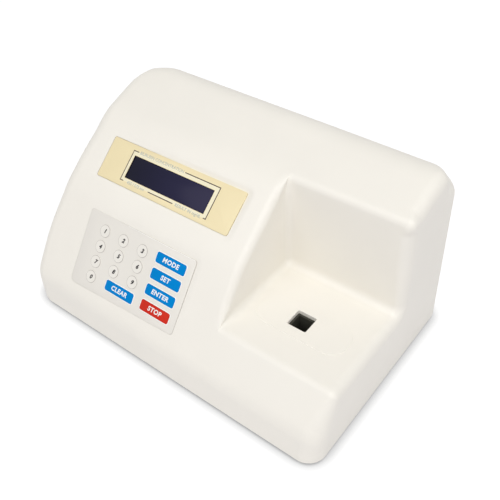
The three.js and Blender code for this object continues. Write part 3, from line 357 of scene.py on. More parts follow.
def bay_roundings(full, bay, first, last):
    """How far the bay wall's edge and its fillet are rounded at each point: they fade at the wall's
    ends and where it is low"""
    def rounding(line, other, index, most):
        if index <= first or index >= last:
            return 0
        here = line[index][0]
        reach = min((here - line[first][0]).length, (here - line[last][0]).length)
        height = min((here - place).length for place, _ in other[first:last + 1])
        return min(most * smooth_step(reach / BAY_ROUND_FADE), BAY_ROUND_SHARE * height)
    count = range(len(full))
    return ([rounding(full, bay, i, BAY_EDGE_ROUND) for i in count],
            [rounding(bay, full, i, BAY_FILLET) for i in count])


def right_rounds(line, drawn_in):
    """Rounding at the right end: small on level edges, growing on the upright ones and most of all
    where the top turns down to the rear"""
    rounds = []
    for place, normal in line:
        if normal.x > 0:
            extra = (RIGHT_REAR_ROUND - RIGHT_EDGE_ROUND) * smooth_step(normal.x)
            extra += RIGHT_TOP_CORNER * (2 * normal.x * normal.y) ** 2
        else:
            below_lip = smooth_step((BAY_FLOOR - place.y) / RIGHT_CORNER_FADE)
            extra = (RIGHT_CORNER_ROUND - RIGHT_EDGE_ROUND) * below_lip
            above_floor = smooth_step((place.y - BAY_FLOOR - BAY_FILLET) / RIGHT_BACK_RISE)
            extra += (RIGHT_BACK_ROUND - RIGHT_EDGE_ROUND) * above_floor
        limit = min(rounding + RIGHT_ROUND_GAIN * max(0, (place - corner).length - rounding)
                    for corner, rounding in BAY_EDGES)
        rounds.append(max(min(RIGHT_EDGE_ROUND + extra, limit) - drawn_in, SEAT))
    return rounds


def left_rounds(line, drawn_in):
    """Rounding at the left end, which changes with height on a smooth curve led by the table"""
    def middle(share):
        return 3 * share ** 3 - 6 * share ** 2 + 4
    rounds = []
    for place, _ in line:
        index, share = divmod(max(place.y, 0) / LEFT_ROUND_STEP, 1)
        weights = ((1 - share) ** 3, middle(share), middle(1 - share), share ** 3)
        nearest = [min(len(LEFT_ROUNDS) - 1, max(0, int(index) + i)) for i in (-1, 0, 1, 2)]
        round_here = sum(weight * LEFT_ROUNDS[i] for weight, i in zip(weights, nearest)) / 6
        rounds.append(round_here - drawn_in)
    return rounds


def quarter_turns(steps):
    return [step / steps * pi / 2 for step in range(steps + 1)]


def cover_rings(steps, drawn_in):
    """The cover's rings from left to right: for each point its outline place, x and how far in"""
    rings = []

    def add(line_number, places):
        """A ring on one of the two outlines, from each point's x and distance"""
        line = outlines(steps, max(x for x, _ in places))[line_number]
        rings.append([(point, x, distance) for point, (x, distance) in zip(line, places)])

    full, bay, _, _ = outlines(steps, 0)
    count = len(full)
    lefts = left_rounds(full, drawn_in)
    for turn in quarter_turns(steps.end):
        add(0, [(drawn_in + r * (1 - cos(turn)), r * (1 - sin(turn))) for r in lefts])
    edge_x = BAY_LEFT - (BAY_EDGE_ROUND if drawn_in == 0 else drawn_in)
    for step in range(1, steps.across):
        share = step / steps.across
        add(0, [(x + (edge_x - x) * share, 0) for x in (drawn_in + r for r in lefts)])
    if drawn_in:
        add(0, [(edge_x, 0)] * count)
        add(1, [(edge_x, 0)] * count)
        side_x = edge_x
    else:
        full, bay, first, last = outlines(steps, BAY_LEFT)
        edges, fillets = bay_roundings(full, bay, first, last)
        for turn in quarter_turns(steps.edge):
            x = BAY_LEFT - BAY_EDGE_ROUND * (1 - sin(turn))
            add(0, [(x, edge * (1 - cos(turn))) for edge in edges])
        lower = [(point, BAY_LEFT, -fillet) for point, fillet in zip(bay, fillets)]
        rings += bay_wall(rings[-1], lower, steps.wall)
        for turn in quarter_turns(steps.fillet):
            x = BAY_LEFT + BAY_FILLET * (1 - cos(turn))
            add(1, [(x, -fillet * (1 - sin(turn))) for fillet in fillets])
        side_x = BAY_LEFT + BAY_FILLET
    rights = right_rounds(bay, drawn_in)
    ends = [COVER_WIDTH - drawn_in - r for r in rights]
    for step in range(1, steps.side):
        add(1, [(side_x + (end - side_x) * step / steps.side, 0) for end in ends])
    for turn in reversed(quarter_turns(steps.end)):
        add(1, [(COVER_WIDTH - drawn_in - r * (1 - cos(turn)), r * (1 - sin(turn)))
                for r in rights])
    return rings


def bay_wall(upper, lower, steps):
    """Rings across the bay's flat left wall, closest together at its two edges"""
    starts = [place - normal * rise for (place, normal), _, rise in upper]
    ends = [place - normal * drop for (place, normal), _, drop in lower]
    return [[((start.lerp(end, smooth_step(step / steps)), normal), x, 0)
             for start, end, ((_, normal), x, _) in zip(starts, ends, upper)]
            for step in range(1, steps)]


def ring_points(ring, drawn_in, foot):
    """A ring's points in space: the first and last at the foot's height, the sides leaning in"""
    points = []
    for index, ((place, normal), x, distance) in enumerate(ring):
        distance += drawn_in
        moved = place - normal * distance
        if index in (0, len(ring) - 1):
            moved = Vector((place.x - (distance + foot * normal.y) / normal.x, foot))
        lean = 1 - 2 * moved.y * tan(DRAFT_ANGLE) / COVER_WIDTH
        points.append(Vector((COVER_WIDTH / 2 + (x - COVER_WIDTH / 2) * lean, moved.x, moved.y)))
    return points


def loft(rings):
    """A skin drawn out from the first ring through all the others, and closed at both ends"""
    bm = bmesh.new()
    verts = [bm.verts.new(point) for point in rings[0]]
    edges = [bm.edges.new((verts[i - 1], verts[i])) for i in range(len(verts))]
    bmesh.ops.contextual_create(bm, geom=edges)
    for ring in rings[1:]:
        made = bmesh.ops.extrude_edge_only(bm, edges=edges)["geom"]
        new = {part for part in made if isinstance(part, bmesh.types.BMVert)}
        edges = [part for part in made
                 if isinstance(part, bmesh.types.BMEdge) and set(part.verts) <= new]
        verts = [next(edge.other_vert(vert) for edge in vert.link_edges
                      if edge.other_vert(vert) in new) for vert in verts]
        for vert, point in zip(verts, ring):
            vert.co = point
    bmesh.ops.contextual_create(bm, geom=edges)
    return welded(bm, SAME_PLACE)


def welded(bm, distance):
    """Makes points that coincide one, and turns the faces outwards"""
    bmesh.ops.remove_doubles(bm, verts=bm.verts, dist=distance)
    bmesh.ops.recalc_face_normals(bm, faces=bm.faces)
    return bm


def block(xs, ys, zs):
    """A block over a stretch of each axis"""
    size = [high - low for low, high in (xs, ys, zs)]
    middle = [(high + low) / 2 for low, high in (xs, ys, zs)]
    bm = bmesh.new()
    place = Matrix.Translation(middle) @ Matrix.Diagonal((*size, 1))
    bmesh.ops.create_cube(bm, size=1, matrix=place)
    return bm


def about(middle, width):
    return middle - width / 2, middle + width / 2


def grown(span, margin):
    return span[0] - margin, span[1] + margin


def around(area, margin):
    """A flat area, given by its two spans, with a margin on all its sides"""
    return [grown(span, margin) for span in area]


def bevelled(bm, edges, width, segments, limited=False):
    bmesh.ops.bevel(bm, geom=edges, offset=width, offset_type="OFFSET", segments=segments,
                    profile=0.5, affect="EDGES", material=-1, clamp_overlap=limited)
    return bm


def upright_edges(bm):
    return [edge for edge in bm.edges
            if (edge.verts[0].co.xy - edge.verts[1].co.xy).length < SAME_PLACE]


def slab(xs, ys, zs, corner, segments=CORNER_STEPS):
    """A flat slab with round corners"""
    bm = block(xs, ys, zs)
    return bevelled(bm, upright_edges(bm), corner, segments)


def eased_edges(bm, width, segments=2, angle=EASED_ANGLE):
    """Rounds every edge that turns by more than an angle"""
    edges = [edge for edge in bm.edges
             if len(edge.link_faces) == 2 and edge.calc_face_angle(0) > angle]
    return bevelled(bm, edges, width, segments, limited=True)


def lathe(profile, segments=ROUND_STEPS):
    """A round shape about z from its (radius, height) profile, which starts and ends on the axis"""
    bm = bmesh.new()
    verts = [bm.verts.new((radius, 0, height)) for radius, height in profile]
    edges = [bm.edges.new(pair) for pair in zip(verts, verts[1:])]
    bmesh.ops.spin(bm, geom=verts + edges, cent=(0, 0, 0), axis=(0, 0, 1), angle=2 * pi,
                   steps=segments, use_merge=True)
    return welded(bm, SAME_PLACE / 10)


def rod(radius, levels, segments=ROUND_STEPS):
    """A round rod about z between two levels"""
    low, high = levels
    return lathe([(0, low), (radius, low), (radius, high), (0, high)], segments)


def moved(bm, matrix):
    bmesh.ops.transform(bm, matrix=matrix, verts=bm.verts)
    return bm


def at(x, y, z=0):
    return Matrix.Translation((x, y, z))


def painted(bm, index):
    for face in bm.faces:
        face.material_index = index
    return bm


def lies_in(place, *spans):
    """Whether a place lies in a stretch of each axis"""
    return all(low <= here <= high for here, (low, high) in zip(place, spans))


def merged(*parts):
    """Several closed shapes as one, each with its own materials' numbers"""
    whole = parts[0]
    for part in parts[1:]:
        mesh = bpy.data.meshes.new("part")
        part.to_mesh(mesh)
        part.free()
        whole.from_mesh(mesh)
        bpy.data.meshes.remove(mesh)
    return whole


def object_of(bm, name):
    mesh = bpy.data.meshes.new(name)
    bm.to_mesh(mesh)
    bm.free()
    return linked(name, mesh)


def linked(name, data):
    """A new object in the scene"""
    made = bpy.data.objects.new(name, data)
    bpy.context.scene.collection.objects.link(made)
    return made


def shown_shape(holder):
    """An object's shape, with its modifiers or its text worked out"""
    evaluated = holder.evaluated_get(bpy.context.evaluated_depsgraph_get())
    bm = bmesh.new()
    bm.from_mesh(evaluated.to_mesh())
    return bm


def carved(bm, tools, operation="DIFFERENCE"):
    """A closed shape with others cut from it, or joined to it"""
    base = object_of(bm, "base")
    helpers = [object_of(tool, "tool") for tool in tools]
    for helper in helpers:
        modifier = base.modifiers.new("carve", "BOOLEAN")
        modifier.object = helper
        modifier.operation = operation
        modifier.solver = "MANIFOLD"
    result = shown_shape(base)
    for spent in [base, *helpers]:
        bpy.data.meshes.remove(spent.data)
    return result


def piece(name, bm, finishes, node, body="instrument", place=PART):
    """Puts a finished shape into the frame in a node's stead, as a piece that rides on a body. The
    first of its finishes has its slot's name."""
    moved(bm, place)
    for face in bm.faces:
        face.smooth = True
    for edge in bm.edges:
        edge.smooth = len(edge.link_faces) == 2 and edge.calc_face_angle(0) < SHARP_ANGLE
    made = object_of(bm, name)
    for finish_name in finishes:
        made.data.materials.append(FINISHES[finish_name])
    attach(made, body)
    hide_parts(node)
    return made


# How far print reaches into what carries it, how far it stands out, and steps in a letter's curve
PRINT_DEPTH = 0.01
PRINT_RISE = 0.03
PRINT_STEPS = 3


def legend(text, index, size, place=(0, 0, 0), slant=0, heavier=0, spacing=1):
    """Printed characters, centred on a place, a little raised"""
    curve = bpy.data.curves.new("legend", "FONT")
    curve.body = text
    curve.size = size
    curve.shear = slant
    curve.offset = heavier
    curve.space_character = spacing
    curve.align_x = "CENTER"
    curve.align_y = "CENTER"
    curve.extrude = (PRINT_RISE + PRINT_DEPTH) / 2
    curve.resolution_u = PRINT_STEPS
    bm = shown_shape(linked("legend", curve))
    bpy.data.curves.remove(curve)
    bmesh.ops.remove_doubles(bm, verts=bm.verts, dist=SAME_PLACE)
    x, y, z = place
    moved(bm, at(x, y, z + (PRINT_RISE - PRINT_DEPTH) / 2))
    return painted(bm, index)


def drawn_box(node):
    """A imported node's lowest and highest corners, in the part's drawing frame"""
    return [PART.inverted() @ Vector(corner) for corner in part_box(node)]


def centre_of(node):
    low, high = drawn_box(node)
    return (low + high) / 2


# Display plate and window on the upper facet: spans along the width and up the face, and levels
# out from it
BEZEL = (38, 174.9), (16.6, 51.9)
BEZEL_CORNER = 1.5
BEZEL_POCKET = 1.6
BEZEL_TOP = -0.3
BEZEL_THICKNESS = 1.3
BEZEL_EASE = 0.15
WINDOW = (65.3, 148.5), (24.1, 43.7)
WINDOW_LAP = 2.6
WINDOW_TOP = -1.6
WINDOW_FLANGE = 1
WINDOW_FLUSH = -0.85
WINDOW_GAP = 0.12
WINDOW_EASE = 0.12
LCD_CENTRE = (107.3, 33.85)
LCD_BOARD = (109, 29)
LCD_POST = 2.5
LCD_POST_LOW = -10.3

# Keypad film on the lower facet, with a raised bead along its top edge and a raised rim around each
# long key, both lighter than the film as a painted highlight
KEYPAD = (47.996, 161.396), (14, 75)
KEYPAD_CORNER = 2.5
KEYPAD_POCKET = 1.2
KEYPAD_RIM = 1.6
FILM_DROOP = 4
FILM_LOW_CORNER = 5
FILM_SPREAD = 0.24
FILM_TOP = -0.1
FILM_THICKNESS = 0.8
FILM_EASE = 0.1
BEAD_START = 42
BEAD_BELOW, BEAD_ABOVE = 0.3, 0.1
BEAD_RISE = 0.1
RIM_SIZE = 0.85
RIM_RISE = 0.12
RIM_ROOT = 0.2
RIM_EASE = 0.08

# Keys: middles and sizes on the lower facet, and levels out from it
KEY_TOP = 0.3
KEY_STEM_LOW = -1.45
KEY_FLANGE = 0.7
KEY_FLANGE_LEVELS = (-1.7, -1.2)
KEY_PITCH_X, KEY_PITCH_V = 20.95, 13.4
DIGIT_X, DIGIT_V = 68.496, 62.2
DIGIT_COLUMNS = 3
DIGIT_RADIUS = 5.3
DIGIT_RING = 0.28
DIGIT_GAP = 0.05
DIGIT_PRINT = {"size": 4.9, "slant": 0.3, "heavier": 0.22}
# How a digit key's edge turns over: how far in from its side, and how far below its top
DIGIT_EDGE = ((0, 0.2), (0.06, 0.06), (0.2, 0))
LONG_X, LONG_V = 139.696, 64
LONG_SIZE = (29.4, 8.6)
LONG_CORNER = 1.6
LONG_EASE = 0.22
LONG_GAP = 0.14
LONG_KEYS = (("MODE", "blue_key"), ("SET", "blue_key"), ("ENTER", "blue_key"),
             ("STOP", "red_key"))
WIDE_X, WIDE_V = 100.996, 22.9
WIDE_SIZE = (30.4, 8.6)
WORD_PRINT = {"size": 5.4, "slant": 0.15, "heavier": 0.17, "spacing": 1.1}

# How deep the cover sinks towards a plate in a facet and from how far away, and how near the
# facet's plane a point of the skin lies that sinks
BEZEL_SINK = (1.6, 6)
KEYPAD_SINK = (0.7, 5)
SINK_LAYER = 0.5
# The sink's share of its depth at a plate's left end, and how fast it grows to the right
SINK_LEAST = 0.15
SINK_GROWTH = 1.6

# The cuvette's hole in the bay floor and the raised pad around it
CUVETTE = (242.6, 68.5)
CUVETTE_HOLE = 15.8
CUVETTE_CORNER = 1.1
CUVETTE_EDGE = 0.3
CUVETTE_EDGE_STEPS = 4
PAD = (207, 282), (52, 83)
PAD_RISE = 0.4
PAD_ROOT = 1
PAD_CORNER, PAD_CORNER_STEPS = 13, 14
PAD_EASE = {"width": 0.35, "segments": 4, "angle": radians(60)}

# What the cover holds inside: posts for the base screws, and the well for the rear panel
CORNERS = ("front_left", "front_right", "rear_left", "rear_right")
POST_LEVELS = (3.3, 20)
POST_RADIUS = 5
POST_WEB = 4
POST_STEPS = 24
PANEL_CORNERS = ("lower_left", "lower_right", "upper_left", "upper_right")
PANEL_FACE = COVER_DEPTH - 9
WELL_XS, WELL_ZS = (40, 182), (14, 80)
WELL_FRAME = 3
SCREW_POCKET, SCREW_POCKET_DEPTH = 3.5, 2.4
SCREW_HOLE, SCREW_HOLE_DEPTH = 1.8, 14


def beyond(place, span):
    """How far a place lies outside a stretch"""
    return max(0, span[0] - place, place - span[1])


def share_of(place, span):
    """How far along a stretch a place lies, from 0 to 1"""
    return clamped((place - span[0]) / (span[1] - span[0]))


def sink_around(bm, face, plate, corner, depth, reach):
    """Lets the skin fall softly towards a plate that lies in a facet, most at its upper right"""
    into = face.inverted()
    normal = face.to_3x3() @ Vector((0, 0, 1))
    (xs, vs), (inner_xs, inner_vs) = plate, around(plate, -corner)
    for vert in bm.verts:
        x, v, n = into @ vert.co
        if abs(n) > SINK_LAYER:
            continue
        away = hypot(beyond(x, inner_xs), beyond(v, inner_vs)) - corner
        to_right = min(1, SINK_GROWTH * share_of(x, xs))
        strength = SINK_LEAST + (1 - SINK_LEAST) * to_right * (1 + 2 * share_of(v, vs)) / 3
        vert.co -= normal * depth * strength * smooth_step(1 - away / reach)


def cover_skin():
    """The cover's outside, sunk around its plates, with the pad on the bay's floor"""
    skin = loft([ring_points(ring, 0, 0) for ring in cover_rings(FINE, 0)])
    sink_around(skin, DISPLAY_FACE, BEZEL, BEZEL_CORNER, *BEZEL_SINK)
    sink_around(skin, KEYPAD_FACE, KEYPAD, KEYPAD_CORNER, *KEYPAD_SINK)
    pad = slab(*PAD, (BAY_FLOOR - PAD_ROOT, BAY_FLOOR + PAD_RISE), PAD_CORNER, PAD_CORNER_STEPS)
    return carved(skin, [eased_edges(pad, **PAD_EASE)], "UNION")


def screw_posts(outer):
    """The four posts that the base screws reach, with webs to the cover's wall"""
    low, high = POST_LEVELS
    parts = []
    for corner in CORNERS:
        x, y, _ = centre_of(f"base_screw_{corner}")
        to_side = (0, x) if x < COVER_WIDTH / 2 else (x, COVER_WIDTH)
        to_end = (0, y) if y < COVER_DEPTH / 2 else (y, COVER_DEPTH)
        post = rod(POST_RADIUS, (0, high - low), POST_STEPS)
        parts += [moved(post, at(x, y, low)),
                  block(to_side, about(y, POST_WEB), POST_LEVELS),
                  block(about(x, POST_WEB), to_end, POST_LEVELS)]
    return carved(carved(parts[0], parts[1:], "UNION"), [outer.copy()], "INTERSECT")


def lcd_posts():
    """The four posts behind the display facet that carry the display module's board"""
    return [moved(rod(LCD_POST, (LCD_POST_LOW, -WALL / 2), POST_STEPS), DISPLAY_FACE @ at(x, v))
            for x in about(LCD_CENTRE[0], LCD_BOARD[0]) for v in about(LCD_CENTRE[1], LCD_BOARD[1])]


def facet_cuts():
    """The pockets of the display plate and of the keypad film, and the openings behind them"""
    through = (-WALL - OVERRUN, OVERRUN)
    display_cuts = [slab(*around(BEZEL, SEAT), (-BEZEL_POCKET, OVERRUN), BEZEL_CORNER + SEAT),
                    slab(*around(WINDOW, WINDOW_LAP + SEAT), through, BEZEL_CORNER)]
    keypad_cuts = [film_slab(SEAT, SEAT, (-KEYPAD_POCKET, OVERRUN)),
                   slab(*around(KEYPAD, -KEYPAD_RIM), through, KEYPAD_CORNER)]
    return ([moved(cut, DISPLAY_FACE) for cut in display_cuts]
            + [moved(cut, KEYPAD_FACE) for cut in keypad_cuts])


def cuvette_cut():
    """A cutter for the cuvette's hole that widens at its top, so that the hole's edge is rounded"""
    cutter = slab(about(CUVETTE[0], CUVETTE_HOLE), about(CUVETTE[1], CUVETTE_HOLE),
                  (BAY_FLOOR - WALL - OVERRUN, BAY_FLOOR + PAD_RISE - CUVETTE_EDGE),
                  CUVETTE_CORNER)
    top = max(cutter.faces, key=lambda face: face.calc_center_median().z)
    middle = top.calc_center_median()
    half = (top.calc_area() ** 0.5) / 2
    levels = [(CUVETTE_EDGE * (1 - cos(turn)), CUVETTE_EDGE * sin(turn))
              for turn in quarter_turns(CUVETTE_EDGE_STEPS)]
    levels.append((CUVETTE_EDGE, CUVETTE_EDGE + OVERRUN))
    for (inner, low), (outer, high) in zip(levels, levels[1:]):
        top = bmesh.ops.extrude_discrete_faces(cutter, faces=[top])["faces"][0]
        growth = (half + outer) / (half + inner)
        bmesh.ops.scale(cutter, vec=(growth, growth, 1), space=Matrix.Translation(-middle),
                        verts=top.verts)
        bmesh.ops.translate(cutter, vec=(0, 0, high - low), verts=top.verts)
    bmesh.ops.recalc_face_normals(cutter, faces=cutter.faces)
    return cutter


def panel_screw_cut(corner):
    """The hole for one of the rear panel's screws, with a pocket for its head"""
    x, _, z = centre_of(f"rear_panel_screw_{corner}")
    profile = [(0, -OVERRUN), (SCREW_POCKET, -OVERRUN), (SCREW_POCKET, SCREW_POCKET_DEPTH),
               (SCREW_HOLE, SCREW_POCKET_DEPTH), (SCREW_HOLE, SCREW_HOLE_DEPTH),
               (0, SCREW_HOLE_DEPTH)]
    inwards = at(x, COVER_DEPTH, z) @ Matrix.Rotation(pi / 2, 4, "X")
    return moved(lathe(profile, SCREW_STEPS), inwards)


def make_cover():
    outer = cover_skin()
    inner = loft([ring_points(ring, WALL, -OVERRUN) for ring in cover_rings(COARSE, WALL)])
    posts = screw_posts(outer)
    shell = carved(outer, [inner])
    well_frame = block(grown(WELL_XS, WELL_FRAME), (PANEL_FACE + SEAT, COVER_DEPTH - WALL / 2),
                       grown(WELL_ZS, WELL_FRAME))
    shell = carved(shell, [well_frame, posts, *lcd_posts()], "UNION")
    well_cut = block(WELL_XS, (PANEL_FACE, COVER_DEPTH + OVERRUN), WELL_ZS)
    shell = carved(shell, [*facet_cuts(), cuvette_cut(), well_cut,
                           *[panel_screw_cut(corner) for corner in PANEL_CORNERS]])
    made = piece("moulded_cover", shell, ["cover"], "housing_cover")
    weighted = made.modifiers.new("even_shading", "WEIGHTED_NORMAL")
    weighted.keep_sharp = True


def film_slab(margin, right_margin, levels):
    """The keypad film's outline grown by a margin; its lower left corner reaches furthest down"""
    (left, right), (bottom, top) = KEYPAD

    def lower_left(vert):
        return vert.co.x < (left + right) / 2 and vert.co.y < (bottom + top) / 2

    bm = block((left - margin, right + right_margin), (bottom - margin, top + margin), levels)
    for vert in bm.verts:
        if lower_left(vert):
            vert.co.y -= FILM_DROOP
    upright = upright_edges(bm)
    low_corner = [edge for edge in upright if lower_left(edge.verts[0])]
    others = [edge for edge in upright if edge not in low_corner]
    bevelled(bm, low_corner, FILM_LOW_CORNER + margin, CORNER_STEPS)
    return bevelled(bm, others, KEYPAD_CORNER + margin, CORNER_STEPS)


Key = namedtuple("Key", "legend x v size finish")


def key_table():
    """The digit keys in rows, the column of long keys and the wide key below them"""
    digits = [Key(str((i + 1) % 10), DIGIT_X + i % DIGIT_COLUMNS * KEY_PITCH_X,
                  DIGIT_V - i // DIGIT_COLUMNS * KEY_PITCH_V, None, "digit_key") for i in range(10)]
    column = [Key(word, LONG_X, LONG_V - i * KEY_PITCH_V, LONG_SIZE, finish_name)
              for i, (word, finish_name) in enumerate(LONG_KEYS)]
    return [*digits, *column, Key("CLEAR", WIDE_X, WIDE_V, WIDE_SIZE, "blue_key")]


def long_slab(key, margin, levels):
    """A long key's outline grown by a margin, about its own middle"""
    width, height = key.size
    return slab(about(0, width + 2 * margin), about(0, height + 2 * margin), levels,
                LONG_CORNER + margin)


def make_film():
    """The keypad's film, with a raised rim around each long key and a bead at its top, both lighter
    than the film as a painted highlight
    """
    low = FILM_TOP - FILM_THICKNESS
    through = (-OVERRUN, OVERRUN)
    film = eased_edges(film_slab(FILM_SPREAD, 0, (low, FILM_TOP)), FILM_EASE)
    (left, right), (_, top) = KEYPAD
    bead = block((left + BEAD_START, right - KEYPAD_CORNER), (top - BEAD_BELOW, top + BEAD_ABOVE),
                 (low + RIM_ROOT, FILM_TOP + BEAD_RISE))
    # The bead and the rims take the film's second, lighter finish as a painted highlight
    holes, rims = [], [painted(eased_edges(bead, RIM_EASE), 1)]
    for key in key_table():
        place = at(key.x, key.v)
        if key.size:
            holes.append(moved(long_slab(key, LONG_GAP, through), place))
            rim_and_highlight = carved(long_slab(key, RIM_SIZE, (low + RIM_ROOT, FILM_TOP + RIM_RISE)),
                         [long_slab(key, LONG_GAP, through)])
            rims.append(moved(painted(eased_edges(rim_and_highlight, RIM_EASE), 1), place))
        else:
            holes.append(moved(rod(DIGIT_RADIUS + DIGIT_GAP, through), place))
    piece("keypad_film", merged(carved(film, holes), *rims), ["overlay", "rim_and_highlight"],
          "keypad_overlay", place=PART @ KEYPAD_FACE)


def digit_cap():
    """A round key with its flange below the film and a printed ring around its top"""
    low, high = KEY_FLANGE_LEVELS
    edge = [(DIGIT_RADIUS - inwards, KEY_TOP - down) for inwards, down in DIGIT_EDGE]
    cap = lathe([(0, low), (DIGIT_RADIUS + KEY_FLANGE, low), (DIGIT_RADIUS + KEY_FLANGE, high),
                 (DIGIT_RADIUS, high), *edge, (DIGIT_RADIUS - DIGIT_RING, KEY_TOP), (0, KEY_TOP)])
    for face in cap.faces:
        middle = face.calc_center_median()
        face.material_index = int(middle.xy.length > DIGIT_RADIUS - DIGIT_RING and middle.z > 0)
    return cap


def make_keys():
    for key in key_table():
        if key.size:
            cap = merged(eased_edges(long_slab(key, 0, (KEY_STEM_LOW, KEY_TOP)), LONG_EASE),
                         long_slab(key, KEY_FLANGE, KEY_FLANGE_LEVELS))
            inks, style = ["white_ink"], WORD_PRINT
        else:
            cap, inks, style = digit_cap(), ["ring", "dark_ink"], DIGIT_PRINT
        words = legend(key.legend, len(inks), place=(0, 0, KEY_TOP), **style)
        name = f"key_{key.legend.lower()}"
        place = PART @ KEYPAD_FACE @ at(key.x, key.v)
        piece(f"{name}_cap", merged(cap, words), [key.finish, *inks], name, name, place)


# The printed frame on the display plate: a light panel with a line at each end, stretches of its
# lower and its upper line, and words in their gaps, each with its middle
FRAME = (62.3, 152.3), (21.3, 47.2)
FRAME_STRETCHES = (((62.3, 65.3), (93.5, 118.9), (150.3, 152.3)),
                   ((62.3, 67.3), (117.4, 152.3)))
FRAME_WORDS = (("BILIRUBIN CONCENTRATION", 92.4, 47.2), ("455 / 575 nm", 79.4, 21.3),
               ("RESULT IN mg/dL", 134.6, 21.3))
FRAME_LINE = 0.7
FRAME_PRINT = {"size": 3.5, "heavier": 0.04}
FRAME_ROOT = 0.2
PANEL_RISE = 0.01
PANEL_MARGIN = 0.3
# How near the window's opening a face lies that carries the painted shade on the opening's walls,
# and how steep it is
PAINTED_SHADE_REACH = 0.05
PAINTED_SHADE_SLOPE = 0.3


def make_bezel():
    """The display plate, with painted shade on the walls of its opening and the printed frame"""
    through = (-OVERRUN, OVERRUN)
    root = BEZEL_TOP - FRAME_ROOT
    plate = slab(*BEZEL, (BEZEL_TOP - BEZEL_THICKNESS, BEZEL_TOP), BEZEL_CORNER)
    plate = eased_edges(carved(plate, [block(*WINDOW, through)]), BEZEL_EASE)
    opening = around(WINDOW, PAINTED_SHADE_REACH)
    # The walls of the window's opening take the brown ink as painted shade
    for face in plate.faces:
        face.material_index = int(lies_in(face.calc_center_median(), *opening)
                                  and abs(face.normal.z) < PAINTED_SHADE_SLOPE)
    panel = block(*FRAME, (root, BEZEL_TOP + PANEL_RISE))
    panel = carved(panel, [block(*around(WINDOW, PANEL_MARGIN), through)])
    stretches = [((x, x), FRAME[1]) for x in FRAME[0]]
    stretches += [(xs, (v, v)) for v, line in zip(FRAME[1], FRAME_STRETCHES) for xs in line]
    lines = [painted(block(*around(stretch, FRAME_LINE / 2), (root, BEZEL_TOP + PRINT_RISE)), 1)
             for stretch in stretches]
    words = [legend(words, 2, place=(x, v, BEZEL_TOP), **FRAME_PRINT)
             for words, x, v in FRAME_WORDS]
    piece("display_plate", merged(plate, painted(panel, 3), *lines, *words),
          ["bezel", "brown_ink_and_shade", "pale_ink", "bezel_light"], "display_bezel",
          place=PART @ DISPLAY_FACE)


def make_window():
    """The window's pane: a flange under the plate and a middle that fills the plate's opening"""
    flange = slab(*around(WINDOW, WINDOW_LAP), (WINDOW_TOP - WINDOW_FLANGE, WINDOW_TOP),
                  BEZEL_CORNER)
    middle = block(*around(WINDOW, -WINDOW_GAP), (WINDOW_TOP - WINDOW_FLANGE / 2, WINDOW_FLUSH))
    pane = carved(flange, [eased_edges(middle, WINDOW_EASE)], "UNION")
    piece("display_pane", pane, ["window"], "display_window", place=PART @ DISPLAY_FACE)


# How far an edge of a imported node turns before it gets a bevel, and the bevels' widths
NODE_EASED_ANGLE = radians(35)
PANEL_EASE, INLET_EASE, DRAWER_EASE, ROCKER_EASE, PORT_EASE = 0.25, 0.4, 0.3, 0.5, 0.2


def eased_node(node, width, finishes, body="instrument", extras=(), metal=()):
    """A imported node's own shape with its edges rounded and parts added to it; what lies in the
    boxes of metal gets its second finish"""
    bm = bmesh.new()
    bm.from_mesh(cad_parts[node].data)
    moved(bm, PART.inverted())
    bmesh.ops.remove_doubles(bm, verts=bm.verts, dist=2 * SAME_PLACE)
    bmesh.ops.dissolve_limit(bm, angle_limit=FLAT_ANGLE, verts=bm.verts, edges=bm.edges)
    eased_edges(bm, width, angle=NODE_EASED_ANGLE)
    bmesh.ops.recalc_face_normals(bm, faces=bm.faces)
    for face in bm.faces:
        middle = face.calc_center_median()
        face.material_index = int(any(lies_in(middle, *box) for box in metal))
    piece(f"{node}_finished", merged(bm, *extras), finishes, node, body)


# Feet: the dish underneath as (radius, height), and the lower edge as how far in from the side and
# its height
FOOT_DISH = ((0, 1), (3.2, 1), (3.6, 0.4), (4.2, 0))
FOOT_EDGE = ((0.9, 0), (0.3, 0.25), (0, 0.9))
FOOT_TOP_EDGE = 0.3

# Screws: the head from the middle of its top as (radius, depth), the shank and the cross recess
SCREW_DOME = ((0, 0), (1.4, 0.04), (2.4, 0.3), (3, 0.85), (3.2, 1.3))
SCREW_HEAD, SCREW_HEAD_HEIGHT = 3.2, 1.8
SCREW_SHANK = 1.5
SCREW_TIP, SCREW_TIP_LENGTH = 0.8, 0.8
CROSS_LENGTH, CROSS_WIDTH, CROSS_DEPTH = 3.4, 0.75, 1


def make_feet():
    for corner in CORNERS:
        node = f"foot_{corner}"
        low, high = drawn_box(node)
        radius, height = (high.x - low.x) / 2, high.z - low.z
        foot = lathe([*FOOT_DISH, *[(radius - inwards, level) for inwards, level in FOOT_EDGE],
                      (radius, height - FOOT_TOP_EDGE), (radius - FOOT_TOP_EDGE, height),
                      (0, height)])
        x, y, _ = centre_of(node)
        moved(foot, at(x, y, low.z))
        piece(f"rubber_{node}", foot, ["rubber"], node)


def make_screw(node, turn):
    """A pan-head screw with a cross recess, turned from upright to the way that it points"""
    low, high = drawn_box(node)
    into = turn @ Vector((0, 0, 1))
    length = abs(into.dot(high - low))
    body = lathe([*SCREW_DOME, (SCREW_HEAD, SCREW_HEAD_HEIGHT), (SCREW_SHANK, SCREW_HEAD_HEIGHT),
                  (SCREW_SHANK, length - SCREW_TIP_LENGTH), (SCREW_TIP, length), (0, length)],
                 SCREW_STEPS)
    cross = [block(about(0, long), about(0, short), (-OVERRUN, CROSS_DEPTH))
             for long, short in ((CROSS_LENGTH, CROSS_WIDTH), (CROSS_WIDTH, CROSS_LENGTH))]
    place = Matrix.Translation((low + high) / 2 - into * length / 2) @ turn
    piece(f"{node}_finished", moved(carved(body, cross), place), ["steel"], node)


